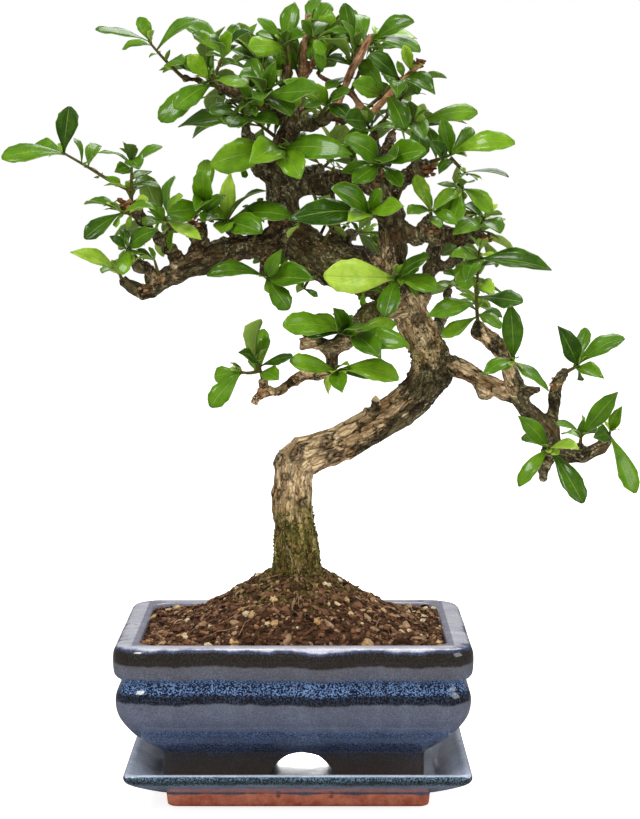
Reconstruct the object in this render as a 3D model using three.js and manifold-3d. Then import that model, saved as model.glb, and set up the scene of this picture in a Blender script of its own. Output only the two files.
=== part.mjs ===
// A small fukien tea bonsai with a crooked trunk and glossy leaves, in a glazed pot on its saucer.
// Millimetres. X runs to the right, Y away from the front, Z up. The origin is in the plane that the saucer
// stands on, under the pot's middle.
import * as THREE from "three";
import { mergeVertices } from "three/addons/utils/BufferGeometryUtils.js";
import Module from "manifold-3d";

const wasm = await Module();
wasm.setup();

// Driving dimensions.
const GAP = 0.3; // left between pieces that touch
const POT_HALF = [80, 60]; // the pot's lip, half its length and half its depth
const POT_CORNER = 14; // radius of the lip's corners
const POT_RIM = 75; // height of the rim
const POT_INSIDE_CORNER = 7;
const FLOOR_HEIGHT = 31; // the pot's floor inside
const RECESS = { inset: 29, ceiling: 25, corner: 5 }; // the hollow under the pot, inside its foot ring
const ARCH = { width: 30, sideWidth: 24, height: 13 }; // cut through each side of the foot ring
const DRAIN = { x: 30, radius: 6 };
const MESH = { side: 26, thickness: 0.8, cells: 3, bar: 1.6 };
const SAUCER_HALF = [78, 61];
const SAUCER_SHIFT = 2.1; // how far the saucer lies to the right of the pot's middle
const SAUCER_CORNER = 5;
const SAUCER_FLOOR = 10;
const SAUCER_LIP = 18;
const SOIL_EDGE = 73.3; // height of the soil along the pot's wall
const MOUND_TOP = 101.5; // height of the soil at the trunk
const MOUND_REACH = 50; // how far the mound runs out from its flat middle
const MOUND_POWER = 1.1;
const SOIL_LUMPS = 0.8; // how far the soil's surface rises and falls
const SOIL_SIDE_PIECES = [6, 4]; // stretches of the soil's long and short sides
const FLAT_TOP = 10; // radius of the mound's flat middle, which the trunk takes up
const BARK_LUMPS = 0.07; // share of a branch's radius
const TWIG = { foot: 1.25, head: 0.9, sides: 4 };

// How far in from the lip, and how high: the outside from the foot to the rim,
// then the inside from the rim to the floor.
const POT_OUTSIDE = [
  [20, SAUCER_FLOOR + GAP], [20, 24.2], [17.5, 26.2], [12, 30.5], [7.5, 35], [4, 39.5], [1.4, 44],
  [0.3, 49.5], [0.9, 54.5], [3, 58], [3, 60], [0.7, 61.6], [0, 64], [0, 70.5], [1.3, 74], [3, POT_RIM],
];
const POT_INSIDE = [
  [10, POT_RIM], [11.5, 73.4], [10.8, 64], [9.6, 55], [10.6, 47], [14, 39], [20, 33], [24, FLOOR_HEIGHT],
];
// The saucer the same way: its plain clay base, its glazed flank and lip, then down to its floor.
const SAUCER_OUTSIDE = [
  [18.5, 0], [18, 7], [13, 8], [2, 13], [0, 15], [0, 17], [1, SAUCER_LIP],
];
const SAUCER_INSIDE = [
  [3, SAUCER_LIP], [5, 16.6], [12, 12.6], [14.5, 10.6], [15.8, SAUCER_FLOOR],
];

const COLOURS = {
  glaze: { color: 0x33456f, roughness: 0.2, metalness: 0 },
  saucer: { color: 0x9a5a44, roughness: 0.45, metalness: 0 },
  mesh: { color: 0x1c1d1c, roughness: 0.6, metalness: 0 },
  soil: { color: 0x4a3024, roughness: 0.95, metalness: 0 },
  bark: { color: 0x6d5a43, roughness: 0.85, metalness: 0 },
  leaf: { color: 0x3f7a1e, roughness: 0.35, metalness: 0 },
};

// The tree's limbs, as points [x, y, z, radius] from where each leaves the limb that carries it to its end.
// Those whose names start with back_ each carry a spray at the back of the crown.
const BRANCHES = {
  trunk: [
    [1, 0, 84.3, 12.4], [1, 0, 110, 11], [-1, 2, 132, 9], [0, 4, 150, 9.2], [4, 5, 154, 9.5],
    [22, 8, 160, 8.9], [48, 12, 175, 8.9], [58, 13, 183, 9.2], [64, 13, 192, 9.8], [64, 12, 201, 9.1],
    [53, 7, 224, 8], [48, 4, 232, 8.2],
  ],
  crook: [
    [48, 4, 232, 8.2], [30, 0, 242, 10.4], [18, -2, 245, 10.8], [8, -3, 250, 10], [1, -3, 256, 9],
    [-4, -2, 264, 8.2], [-8, 2, 287, 6], [-5, 4, 300, 4.8], [1, 4, 312, 4.2],
  ],
  left: [
    [-3, -3, 259, 7], [-14, -4, 253, 6.2], [-26, -5, 252, 5.8], [-37, -7, 248, 6.4],
    [-59, -13, 238, 4.2], [-64, -14, 233, 4.2], [-69, -15, 231, 3.8], [-78, -17, 238, 2.4],
  ],
  left_fork: [
    [-63, -13, 237, 3.6], [-66, -15, 242, 3.6], [-70, -17, 244, 3.4], [-74, -19, 249, 2.8],
    [-74, -20, 252, 2],
  ],
  left_rise: [
    [-47, -10, 243, 4], [-45, -10, 251, 3.6], [-42, -11, 258, 3.4], [-41, -12, 263, 3.2],
  ],
  left_side: [
    [-50, -10, 242, 3.6], [-58, -13, 253, 3], [-58, -14, 257, 2.4], [-55, -14, 260, 2],
  ],
  left_knob: [
    [-58, -13, 253, 2.6], [-64, -17, 259, 2.4], [-70, -20, 267, 3], [-73, -21, 272, 4.2],
  ],
  left_inner_stub: [
    [-19, -4, 253, 3.2], [-26, -5, 257, 2.8], [-30, -6, 261, 2.2],
  ],
  down_stub: [
    [-8, -4, 255, 5], [-12, -6, 247, 3.8], [-13, -8, 239, 2.6],
  ],
  thin_left: [
    [-10, 1, 285, 4.6], [-16, -1, 289, 4], [-21, -7, 303, 2.8], [-22, -10, 308, 2.2],
  ],
  leader_left: [
    [1, 4, 311, 3.8], [-5, 0, 314, 3.4], [-11, -8, 315, 3], [-12, -13, 316, 2.2],
  ],
  leader_high: [
    [-11, -8, 315, 2.6], [-20, -10, 320, 2.6], [-26, -10, 323, 2.4], [-34, -10, 324, 2],
  ],
  leader_tip_left: [
    [-26, -10, 323, 2], [-39, -4, 327, 1.8], [-50, -11, 329, 1.8],
  ],
  cross: [
    [-5, 0, 277, 6], [3, -2, 280, 5.4], [23, -6, 283, 5], [31, -8, 282, 4.2], [38, -8, 279, 4],
  ],
  cross_down: [
    [15, -4, 281, 3.6], [16, -3, 271, 3.4], [20, -2, 259, 3.6], [24, -1, 251, 4],
  ],
  right_up: [
    [46, 3, 234, 7], [45, -3, 244, 6.8], [45, -7, 254, 6.4], [44, -9, 264, 6.2], [39, -9, 286, 4.6],
  ],
  right_mid: [
    [44, -9, 262, 4.6], [56, -12, 257, 4.4], [61, -15, 260, 5.2], [64, -16, 259, 4.4],
    [70, -14, 258, 3.6], [86, -10, 257, 3.4],
  ],
  right_knob: [
    [61, -15, 260, 5.4], [62, -19, 265, 4.6],
  ],
  right_high: [
    [41, -9, 277, 4.6], [54, -11, 286, 3.8], [60, -12, 289, 4.4], [62, -12, 291, 3],
  ],
  right_link: [
    [56, 8, 222, 5], [61, 2, 233, 4], [65, -10, 252, 3.8], [65, -14, 258, 3.6],
  ],
  right_twig: [
    [63, -5, 244, 3.4], [70, -9, 244, 2.8], [75, -12, 247, 2.2], [77, -13, 262, 1.8],
    [75, -14, 281, 1.8],
  ],
  top: [
    [0, 4, 310, 3.8], [7, 0, 308, 3.6], [12, -6, 310, 3.8], [17, -8, 313, 4], [22, -8, 310, 3.4],
    [28, -9, 314, 2.6], [33, -10, 315, 2],
  ],
  top_leader: [
    [4, 2, 309, 3.6], [3, 2, 319, 3.2], [4, 0, 327, 3], [4, -3, 334, 2],
  ],
  stick_left: [
    [3, 1, 321, 2.4], [-3, -2, 329, 2.4], [-3, -4, 351, 2.4],
  ],
  stick_mid: [
    [4, 0, 327, 2.2], [4, -10, 336, 2.4], [7, -14, 358, 2.6],
  ],
  stub_mid: [
    [3, -2, 327, 2.6], [11, -14, 338, 2.6],
  ],
  stick_long: [
    [17, -9, 314, 2.6], [20, -14, 317, 2.6], [26, -16, 332, 2.6], [35, -18, 348, 2.4],
  ],
  top_arch: [
    [11, -6, 331, 2], [18, -10, 326, 2.2], [26, -12, 322, 2.2], [31, -10, 315, 2.2],
  ],
  mid_stub: [
    [39, -9, 285, 4], [37, -10, 293, 3.2], [37, -11, 298, 2.8], [36, -12, 304, 2.2],
  ],
  right_upper_stub: [
    [54, -11, 286, 2.6], [56, -12, 294, 2.2], [55, -12, 303, 2],
  ],
  low_right: [
    [67, 13, 193, 7.4], [74, 10, 196, 5.2], [81, 6, 194, 4.8], [89, 2, 189, 4.6], [103, -5, 184, 4.6],
    [107, -8, 178, 4.2], [119, -14, 168, 4.2], [119, -16, 162, 4], [126, -17, 157, 3.8],
    [132, -17, 157, 3.6], [140, -18, 161, 3.2], [144, -18, 165, 3],
  ],
  low_right_pendant: [
    [118, -15, 164, 4], [116, -17, 156, 4], [114, -18, 150, 3.2], [114, -18, 145, 1.8],
  ],
  low_right_nodule: [
    [86, 2, 190, 4], [89, -2, 184, 4.4], [89, -3, 182, 3],
  ],
  low_right_spike: [
    [102, -5, 185, 3.8], [108, -7, 186, 3.2], [114, -8, 187, 1.4],
  ],
  low_right_up: [
    [118, -14, 167, 3.6], [120, -15, 190, 3.2], [124, -16, 196, 2.8], [125, -16, 196, 2.4],
  ],
  low_right_post: [
    [130, -17, 157, 2.8], [131, -18, 163, 2.2],
  ],
  riser: [
    [103, -5, 185, 4.6], [102, -6, 190, 4.8], [98, -9, 200, 3.6], [94, -11, 207, 4.4],
    [84, -14, 215, 4], [84, -15, 218, 3],
  ],
  low_left: [
    [48, 5, 225, 6], [34, -5, 221, 5.4], [24, -13, 210, 4.6], [17, -14, 206, 4.4], [10, -14, 209, 3.8],
    [3, -14, 208, 3],
  ],
  low_left_twig: [
    [18, -14, 206, 3.6], [17, -14, 197, 3], [11, -14, 194, 2.8], [4, -15, 194, 2.6],
    [-7, -19, 187, 2.6], [-13, -21, 187, 3], [-14, -22, 193, 2.4],
  ],
  low_left_knob: [
    [-13, -20, 187, 2.8], [-17, -20, 184, 2.4], [-18, -20, 181, 2.6],
  ],
  trunk_stub: [
    [36, 8, 169, 3], [38, 2, 179, 2.2], [38, -1, 183, 1.6],
  ],
  back_left_low: [
    [-37, -7, 248, 4], [-43, 6, 255, 3.4], [-49, 15, 259, 2.8], [-54, 23, 262, 2.2],
  ],
  back_left_high: [
    [-11, -8, 315, 2.6], [-19, 5, 320, 2.6], [-28, 15, 323, 2.4], [-34, 23, 326, 2],
  ],
  back_top: [
    [-2, 4, 307, 4], [-6, 15, 317, 3.2], [-11, 24, 322, 2.6], [-14, 31, 326, 2],
  ],
  back_middle: [
    [-7, 1, 279, 4.4], [0, 13, 284, 3.6], [7, 25, 287, 3], [13, 34, 289, 2.2],
  ],
  back_centre: [
    [8, -3, 250, 5], [16, 12, 254, 4], [24, 25, 256, 3.2], [28, 36, 258, 2.4],
  ],
  back_high_right: [
    [39, -9, 284, 4], [42, 5, 292, 3.4], [44, 16, 300, 2.8], [46, 24, 305, 2.2],
  ],
  back_right: [
    [70, -14, 258, 3.4], [72, 2, 258, 3], [75, 14, 258, 2.6], [78, 22, 257, 2],
  ],
  back_low_right: [
    [61, 11, 208, 4.4], [68, 24, 214, 3.4], [72, 34, 222, 2.8], [74, 42, 231, 2.2],
  ],
};

// The leafy sprays that show from the front. "on" names the limb that carries a spray and the point of the
// limb where it grows. Its first shoot's path runs on from there, and a later shoot's from a point of an
// earlier one. Each leaf is its tip [x, y, z] and the way it faces.
const SPRAYS = {
  left_crown: {
    on: ["left_knob", 3],
    shoots: [
      {
        path: [[-73, -23, 280], [-72, -27, 292]],
        leaves: [
          [-86, -34, 296, 25], [-59, -20, 298, 35], [-73, -40, 299, 45], [-78, -40, 287, 70],
          [-68, -48, 289, 70], [-65, -10, 287, 30], [-66, -2, 282, 60], [-60, -22, 280, 30],
        ],
      },
      {
        path: [[-73, -23, 278], [-82, -22, 282], [-91, -24, 288], [-103, -28, 295]],
        leaves: [
          [-99, -34, 315, 85], [-129, -36, 292, 40], [-119, -16, 299, 50], [-89, -10, 300, 20],
          [-89, -38, 291, 60], [-89, -12, 284, 60],
        ],
      },
    ],
  },
  left_knob_low: {
    on: ["left_knob", 2.4],
    shoots: [
      {
        path: [[-77, -30, 268]],
        leaves: [
          [-92, -42, 257, 60], [-94, -20, 274, 20], [-85, -14, 270, 30], [-64, -34, 274, 60],
          [-60, -40, 268, 40],
        ],
      },
    ],
  },
  left_stick: {
    on: ["left_fork", 4],
    shoots: [
      {
        path: [[-75, -26, 252]],
        leaves: [
          [-81, -34, 258, 60], [-77, -18, 261, 50], [-62, -40, 261, 70], [-76, -36, 242, 30],
        ],
      },
    ],
  },
  left_end: {
    on: ["left", 7],
    shoots: [
      {
        path: [[-79, -19, 241]],
        leaves: [
          [-100, -26, 251, 45], [-85, -32, 242, 40], [-84, -4, 246, 50], [-74, -26, 251, 30],
        ],
      },
    ],
  },
  left_tuft: {
    on: ["left_side", 3],
    shoots: [
      {
        path: [[-58, -22, 265]],
        leaves: [
          [-41, -34, 257, 40], [-67, -32, 263, 35], [-66, -20, 273, 60], [-51, -34, 276, 50],
        ],
      },
    ],
  },
  left_upper: {
    on: ["left_rise", 3],
    shoots: [
      {
        path: [[-40, -16, 272]],
        leaves: [
          [-40, -8, 293, 75], [-60, -34, 275, 80], [-40, -34, 286, 60], [-31, -22, 276, 60],
          [-47, -36, 273, 45],
        ],
      },
    ],
  },
  left_inner: {
    on: ["left_inner_stub", 2],
    shoots: [
      {
        path: [[-31, -10, 264]],
        leaves: [
          [-29, -24, 283, 75], [-42, -6, 275, 60], [-14, -26, 280, 25], [-15, -32, 260, 75],
          [-6, -28, 273, 45], [-40, -28, 268, 30], [-32, -28, 257, 40],
        ],
      },
    ],
  },
  hanging_left: {
    on: ["down_stub", 2],
    shoots: [
      {
        path: [[-12, -12, 238]],
        leaves: [
          [-38, -22, 242, 50], [-5, -28, 252, 80], [3, -14, 244, 60], [10, -34, 238, 70],
          [-2, -28, 225, 85],
        ],
      },
    ],
  },
  upper_left_tip: {
    on: ["leader_tip_left", 2],
    shoots: [
      {
        path: [[-58, -16, 336], [-65, -20, 345]],
        leaves: [
          [-87, -30, 350, 30], [-43, -16, 356, 35], [-69, -22, 355, 50], [-78, -12, 343, 40],
          [-49, -28, 335, 50],
        ],
      },
    ],
  },
  upper_left: {
    on: ["leader_high", 3],
    shoots: [
      {
        path: [[-38, -18, 328]],
        leaves: [
          [-46, -34, 337, 75], [-55, -12, 334, 30], [-55, -4, 326, 40], [-52, -30, 316, 70],
          [-60, -20, 309, 60], [-20, -32, 324, 35],
        ],
      },
      {
        path: [[-37, -14, 327], [-32, -12, 337], [-31, -10, 342]],
        leaves: [
          [-54, 4, 355, 35], [-50, -24, 336, 80], [-37, -32, 344, 60], [-27, -30, 347, 70],
          [-25, -2, 354, 85], [-20, -14, 350, 30], [-46, -8, 348, 60],
        ],
      },
    ],
  },
  mid_left: {
    on: ["thin_left", 3],
    shoots: [
      {
        path: [[-23, -16, 312]],
        leaves: [
          [-37, -32, 312, 40], [-52, -18, 307, 40], [-47, -4, 304, 35], [-28, -38, 306, 50],
          [-18, -32, 319, 60], [-13, -10, 319, 50], [-7, -30, 308, 50],
        ],
      },
    ],
  },
  top_left: {
    on: ["stick_left", 1.3],
    shoots: [
      {
        path: [[-4, -8, 345]],
        leaves: [
          [-16, -8, 356, 60], [-19, -26, 342, 75], [4, -26, 348, 60], [-18, -4, 338, 50],
          [1, 8, 357, 50],
        ],
      },
    ],
  },
  crown_left: {
    on: ["leader_left", 3],
    shoots: [
      {
        path: [[-13, -20, 321]],
        leaves: [
          [-8, -30, 335, 85], [-22, -38, 329, 45], [-20, -8, 337, 70], [-13, -44, 327, 50],
          [11, -42, 321, 65], [-1, -34, 311, 30],
        ],
      },
    ],
  },
  crown_centre: {
    on: ["top", 2],
    shoots: [
      {
        path: [[16, -20, 317]],
        leaves: [
          [8, -34, 325, 70], [-5, -22, 327, 60], [5, -38, 314, 40], [24, -34, 322, 60],
          [25, -36, 310, 50],
        ],
      },
    ],
  },
  top_centre: {
    on: ["stick_mid", 1.5],
    shoots: [
      {
        path: [[11, -18, 346]],
        leaves: [
          [25, -18, 350, 45], [10, 0, 357, 70], [2, -22, 354, 70], [13, -26, 339, 60],
          [13, -20, 331, 60],
        ],
      },
    ],
  },
  top_right: {
    on: ["stick_long", 2],
    shoots: [
      {
        path: [[27, -8, 342]],
        leaves: [
          [23, -14, 362, 80], [12, 8, 351, 25], [17, -26, 352, 50], [20, -34, 345, 25],
          [20, -32, 340, 70],
        ],
      },
      {
        path: [[27, -8, 341], [33, -10, 345], [36, -12, 345]],
        leaves: [
          [54, -22, 353, 60], [56, -4, 348, 30], [56, -26, 342, 35], [29, 4, 360, 20],
        ],
      },
    ],
  },
  right_stick: {
    on: ["top", 6],
    shoots: [
      {
        path: [[40, -13, 321], [50, -16, 329], [53, -17, 332]],
        leaves: [
          [48, -28, 345, 80], [35, -30, 338, 70], [62, -24, 328, 35], [62, -36, 323, 50],
          [31, -8, 337, 75], [26, -34, 325, 80], [46, -36, 321, 40], [50, -28, 306, 50],
        ],
      },
    ],
  },
  mid_upper: {
    on: ["mid_stub", 3],
    shoots: [
      {
        path: [[33, -18, 308]],
        leaves: [
          [18, -42, 307, 80], [31, -28, 314, 40], [48, -26, 306, 30], [22, -30, 297, 70],
        ],
      },
    ],
  },
  mid_big: {
    on: ["right_up", 4],
    shoots: [
      {
        path: [[39, -22, 290]],
        leaves: [
          [21, -44, 301, 75], [58, -42, 296, 70], [44, -46, 294, 60], [22, -30, 287, 65],
          [26, -36, 281, 70], [48, -34, 280, 50],
        ],
      },
    ],
  },
  centre_big: {
    on: ["crook", 6.5],
    shoots: [
      {
        path: [[-5, -16, 297]],
        leaves: [
          [25, -38, 295, 70], [-35, -36, 291, 75], [-19, -42, 290, 70], [3, -36, 284, 70],
        ],
      },
    ],
  },
  right_upper: {
    on: ["right_upper_stub", 2],
    shoots: [
      {
        path: [[54, -16, 311]],
        leaves: [
          [52, -26, 316, 40], [45, -6, 315, 30], [46, -36, 298, 80], [82, -20, 315, 45],
          [79, -6, 311, 35], [58, -40, 301, 70],
        ],
      },
    ],
  },
  right_shoot: {
    on: ["right_high", 3],
    shoots: [
      {
        path: [[69, -14, 293], [73, -15, 295]],
        leaves: [
          [59, -34, 301, 80], [67, -28, 309, 85], [82, -4, 307, 80], [98, -26, 301, 55],
          [62, -12, 309, 20],
        ],
      },
      {
        path: [[71, -14, 293], [75, -14, 289], [79, -14, 285]],
        leaves: [
          [97, -20, 284, 15], [65, -28, 285, 50],
        ],
      },
    ],
  },
  right_mid: {
    on: ["right_twig", 4],
    shoots: [
      {
        path: [[76, -18, 278]],
        leaves: [
          [71, -34, 263, 70], [89, -28, 269, 55], [63, -34, 271, 60], [78, -36, 281, 20],
          [67, -8, 266, 60],
        ],
      },
    ],
  },
  right_knob: {
    on: ["right_knob", 1],
    shoots: [
      {
        path: [[62, -25, 269]],
        leaves: [
          [58, -38, 277, 60], [51, -42, 268, 60], [55, -26, 285, 70], [65, -42, 262, 30],
          [74, -38, 268, 60],
        ],
      },
    ],
  },
  right_far: {
    on: ["right_mid", 4.8],
    shoots: [
      {
        path: [[87, -14, 266]],
        leaves: [
          [72, -36, 260, 60], [92, -34, 260, 60], [75, 2, 264, 40], [97, -8, 265, 30],
          [79, -4, 272, 50],
        ],
      },
    ],
  },
  right_riser: {
    on: ["riser", 5],
    shoots: [
      {
        path: [[83, -18, 226], [83, -20, 236], [84, -22, 252]],
        leaves: [
          [61, -34, 224, 60], [67, -26, 212, 60], [75, -6, 228, 40], [103, -30, 228, 45],
          [96, -6, 222, 50], [92, -34, 218, 60], [115, -34, 244, 50], [70, -40, 249, 50],
          [98, -8, 246, 40], [72, -14, 242, 80], [72, -38, 237, 75], [98, -34, 240, 75],
          [88, -42, 235, 70], [77, -46, 244, 40],
        ],
      },
    ],
  },
  centre_right: {
    on: ["crook", 0.2],
    shoots: [
      {
        path: [[47, -22, 239]],
        leaves: [
          [59, -40, 249, 60], [15, -46, 241, 85], [64, -36, 234, 60], [57, -8, 244, 60],
          [41, -38, 223, 35],
        ],
      },
    ],
  },
  centre_mid: {
    on: ["right_up", 3],
    shoots: [
      {
        path: [[33, -25, 268]],
        leaves: [
          [0, -48, 267, 70], [19, -44, 279, 70], [38, -34, 278, 60], [23, -42, 261, 50],
          [49, -44, 271, 60],
        ],
      },
    ],
  },
  low_mid: {
    on: ["low_left", 2],
    shoots: [
      {
        path: [[22, -20, 215]],
        leaves: [
          [-5, -38, 218, 60], [7, -20, 221, 60], [18, -38, 226, 70], [31, -42, 217, 55],
          [2, -10, 208, 50],
        ],
      },
      {
        path: [[24, -17, 213], [29, -22, 213]],
        leaves: [
          [52, -36, 209, 70], [47, -22, 219, 65], [39, -46, 204, 60],
        ],
      },
    ],
  },
  low_left: {
    on: ["low_left_twig", 6],
    shoots: [
      {
        path: [[-16, -26, 201]],
        leaves: [
          [0, -38, 204, 45], [-23, -38, 207, 50], [-14, -20, 216, 20], [-7, -40, 195, 60],
        ],
      },
      {
        path: [[-15, -24, 197], [-21, -26, 195], [-24, -28, 197]],
        leaves: [
          [-37, -38, 183, 60], [-36, -20, 194, 70], [-15, -34, 221, 15],
        ],
      },
    ],
  },
  low_centre: {
    on: ["low_left_twig", 1],
    shoots: [
      {
        path: [[20, -20, 196]],
        leaves: [
          [-2, -36, 202, 70], [22, -40, 188, 80], [47, -30, 195, 40], [37, -10, 193, 50],
          [13, -8, 189, 60],
        ],
      },
    ],
  },
  right_low_top: {
    on: ["low_right_up", 3],
    shoots: [
      {
        path: [[130, -19, 199]],
        leaves: [
          [118, -34, 218, 75], [134, -12, 216, 75], [148, -26, 213, 40], [138, -38, 196, 60],
          [131, -4, 191, 60],
        ],
      },
    ],
  },
  riser_side: {
    on: ["riser", 2],
    shoots: [
      {
        path: [[100, -18, 201]],
        leaves: [
          [98, -24, 227, 50], [86, -28, 197, 50], [116, -26, 189, 20],
        ],
      },
    ],
  },
  right_low_hanging: {
    on: ["low_right", 7],
    shoots: [
      {
        path: [[116, -24, 161]],
        leaves: [
          [103, -40, 177, 70], [105, -12, 166, 50], [102, -34, 147, 50], [130, -38, 138, 60],
          [127, -44, 164, 50],
        ],
      },
    ],
  },
  right_low_upright: {
    on: ["low_right_post", 1],
    shoots: [
      {
        path: [[131, -22, 168]],
        leaves: [
          [146, -32, 188, 75], [120, -36, 175, 40], [122, -10, 167, 30], [142, -4, 169, 60],
        ],
      },
    ],
  },
  right_low_end: {
    on: ["low_right", 11],
    shoots: [
      {
        path: [[144, -22, 169]],
        leaves: [
          [148, -30, 181, 60], [133, -38, 173, 60], [155, -30, 142, 30],
        ],
      },
    ],
  },
};

// A leaf blade, station by station: its place along the midrib, its half width as a share of the widest
// and the depth of its keel in millimetres. After the last station comes the tip, a single point.
const BLADE = [
  { along: 0, width: 0.14, thick: 1 },
  { along: 0.4, width: 0.74, thick: 1.2 },
  { along: 0.76, width: 1, thick: 1.1 },
];
const SMALL_BLADE = [BLADE[0], { along: 0.7, width: 0.96, thick: 1.3 }];
const SMALL_LEAF = 20; // a leaf shorter than this has the plainer blade
const FOOT_OFF_AXIS = 0.6; // how far a leaf's foot lies out of the middle of its shoot
const LEAF_CLEARANCE = 0.3; // kept between the leaves of two sprays
const OUTER_PART = 0.3; // leaves of one spray may cross each other in this share of them, by the foot
// Turns tried for a leaf that would cross another piece, in degrees: sideways, then up or down.
const BENDS = [
  [0, 0], [0, 12], [0, -12], [14, 0], [-14, 0], [14, 12], [-14, 12], [14, -12], [-14, -12],
  [27, 0], [-27, 0], [0, 25], [0, -25], [27, 20], [-27, 20], [27, -20], [-27, -20],
  [42, 0], [-42, 0], [0, 40], [42, 20], [-42, 20],
];
// Leaves of a spray at the back stand round its shoot by rule.
const BACK = { leaves: 6, shoot: 14, spacing: 2, golden: 137.5, crown: [0, 0, 262] };
const BACK_TILT = [30, 84]; // degrees away from the shoot
const BACK_LENGTH = [20, 29];
const FOOT_INSIDE = 0.5; // a shoot on a branch's side starts this share of the branch's radius out

// Seeded draws from 0 to 1.
function drawer(seed) {
  let state = seed;
  return () => {
    state = (state * 16807) % 2147483647;
    return state / 2147483647;
  };
}

const vector = (a) => new THREE.Vector3(a[0], a[1], a[2]);
const turned = (v, axis, degrees) => v.clone().applyAxisAngle(axis, THREE.MathUtils.degToRad(degrees));

// A closed surface as a solid that can be joined and cut.
function solidOf(positions, index) {
  const geometry = new THREE.BufferGeometry();
  geometry.setAttribute("position", new THREE.Float32BufferAttribute(positions, 3));
  geometry.setIndex(index);
  return solidOfGeometry(geometry);
}

function solidOfGeometry(geometry) {
  geometry.deleteAttribute("normal");
  geometry.deleteAttribute("uv");
  const merged = mergeVertices(geometry, 1e-4);
  return new wasm.Manifold(
    new wasm.Mesh({
      numProp: 3,
      vertProperties: new Float32Array(merged.attributes.position.array),
      triVerts: new Uint32Array(merged.index.array),
    }),
  );
}

function geometryOf(solid) {
  const mesh = solid.getMesh();
  const geometry = new THREE.BufferGeometry();
  geometry.setAttribute("position", new THREE.Float32BufferAttribute(mesh.vertProperties, 3));
  geometry.setIndex(new THREE.Uint32BufferAttribute(mesh.triVerts, 1));
  geometry.computeVertexNormals();
  return geometry;
}

function pieceOf(name, solid, finish) {
  const piece = new THREE.Mesh(geometryOf(solid), new THREE.MeshStandardMaterial(finish));
  piece.name = name;
  return piece;
}

// A solid skinned over rings of equally many points, with flat ends. The points run counter-clockwise
// seen from where the rings lead.
function skinned(rings) {
  const count = rings[0].length;
  const positions = rings.flat().flatMap((p) => [p.x, p.y, p.z]);
  const index = [];
  for (let i = 0; i + 1 < rings.length; i++) {
    for (let j = 0; j < count; j++) {
      const a = i * count + j;
      const b = i * count + ((j + 1) % count);
      index.push(a, b, b + count, a, b + count, a + count);
    }
  }
  const last = (rings.length - 1) * count;
  for (let j = 1; j + 1 < count; j++) {
    index.push(0, j + 1, j);
    index.push(last, last + j, last + j + 1);
  }
  return solidOf(positions, index);
}

// A rectangle with rounded corners, level at height z, counter-clockwise seen from above.
function roundedRing(halfX, halfY, corner, z, steps = 3) {
  const ring = [];
  for (const [quarter, [sx, sy]] of [[1, 1], [-1, 1], [-1, -1], [1, -1]].entries()) {
    for (let i = 0; i <= steps; i++) {
      const angle = (quarter + i / steps) * (Math.PI / 2);
      ring.push(
        new THREE.Vector3(
          sx * (halfX - corner) + corner * Math.cos(angle),
          sy * (halfY - corner) + corner * Math.sin(angle),
          z,
        ),
      );
    }
  }
  return ring;
}

function ringsFrom(profile, [halfX, halfY], cornerAt) {
  return profile.map(([inset, z]) => roundedRing(halfX - inset, halfY - inset, cornerAt(inset), z));
}

// A plain post with its axis along Z.
function post(radius, low, high, x, y, sides) {
  const geometry = new THREE.CylinderGeometry(radius, radius, high - low, sides);
  geometry.rotateX(Math.PI / 2);
  geometry.translate(x, y, (low + high) / 2);
  return solidOfGeometry(geometry);
}

function block(sizeX, sizeY, sizeZ, x, y, z) {
  const geometry = new THREE.BoxGeometry(sizeX, sizeY, sizeZ);
  geometry.translate(x, y, z);
  return solidOfGeometry(geometry);
}

// An arched tunnel through the foot ring, from front to back, or from side to side when it is turned.
function archTunnel(width, length, turnedRound) {
  const outline = new THREE.Shape();
  outline.moveTo(-width / 2, -1);
  outline.lineTo(width / 2, -1);
  outline.absellipse(0, 0, width / 2, ARCH.height, 0, Math.PI, false, 0);
  const form = { depth: length, bevelEnabled: false, curveSegments: 6 };
  const geometry = new THREE.ExtrudeGeometry(outline, form);
  geometry.translate(0, 0, -length / 2);
  geometry.rotateX(Math.PI / 2);
  if (turnedRound) geometry.rotateZ(Math.PI / 2);
  geometry.translate(0, 0, SAUCER_FLOOR + GAP);
  return solidOfGeometry(geometry);
}

function makeSaucer() {
  const cornerAt = (inset) => Math.max(4, SAUCER_CORNER - inset * 0.25);
  return skinned([
    ...ringsFrom(SAUCER_OUTSIDE, SAUCER_HALF, cornerAt),
    ...ringsFrom(SAUCER_INSIDE, SAUCER_HALF, cornerAt),
  ]).translate([SAUCER_SHIFT, 0, 0]);
}

function makePot() {
  const cornerOutside = (inset) => POT_CORNER - inset * 0.35;
  const recess = [RECESS.ceiling, SAUCER_FLOOR + GAP].map((z) =>
    roundedRing(POT_HALF[0] - RECESS.inset, POT_HALF[1] - RECESS.inset, RECESS.corner, z),
  );
  let pot = skinned([
    ...recess,
    ...ringsFrom(POT_OUTSIDE, POT_HALF, cornerOutside),
    ...ringsFrom(POT_INSIDE, POT_HALF, () => POT_INSIDE_CORNER),
  ]);
  pot = pot.subtract(archTunnel(ARCH.width, 2 * POT_HALF[1], false));
  pot = pot.subtract(archTunnel(ARCH.sideWidth, 2 * POT_HALF[0], true));
  for (const side of [-1, 1]) {
    pot = pot.subtract(post(DRAIN.radius, RECESS.ceiling - 1, FLOOR_HEIGHT + 1, side * DRAIN.x, 0, 12));
  }
  return pot;
}

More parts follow.
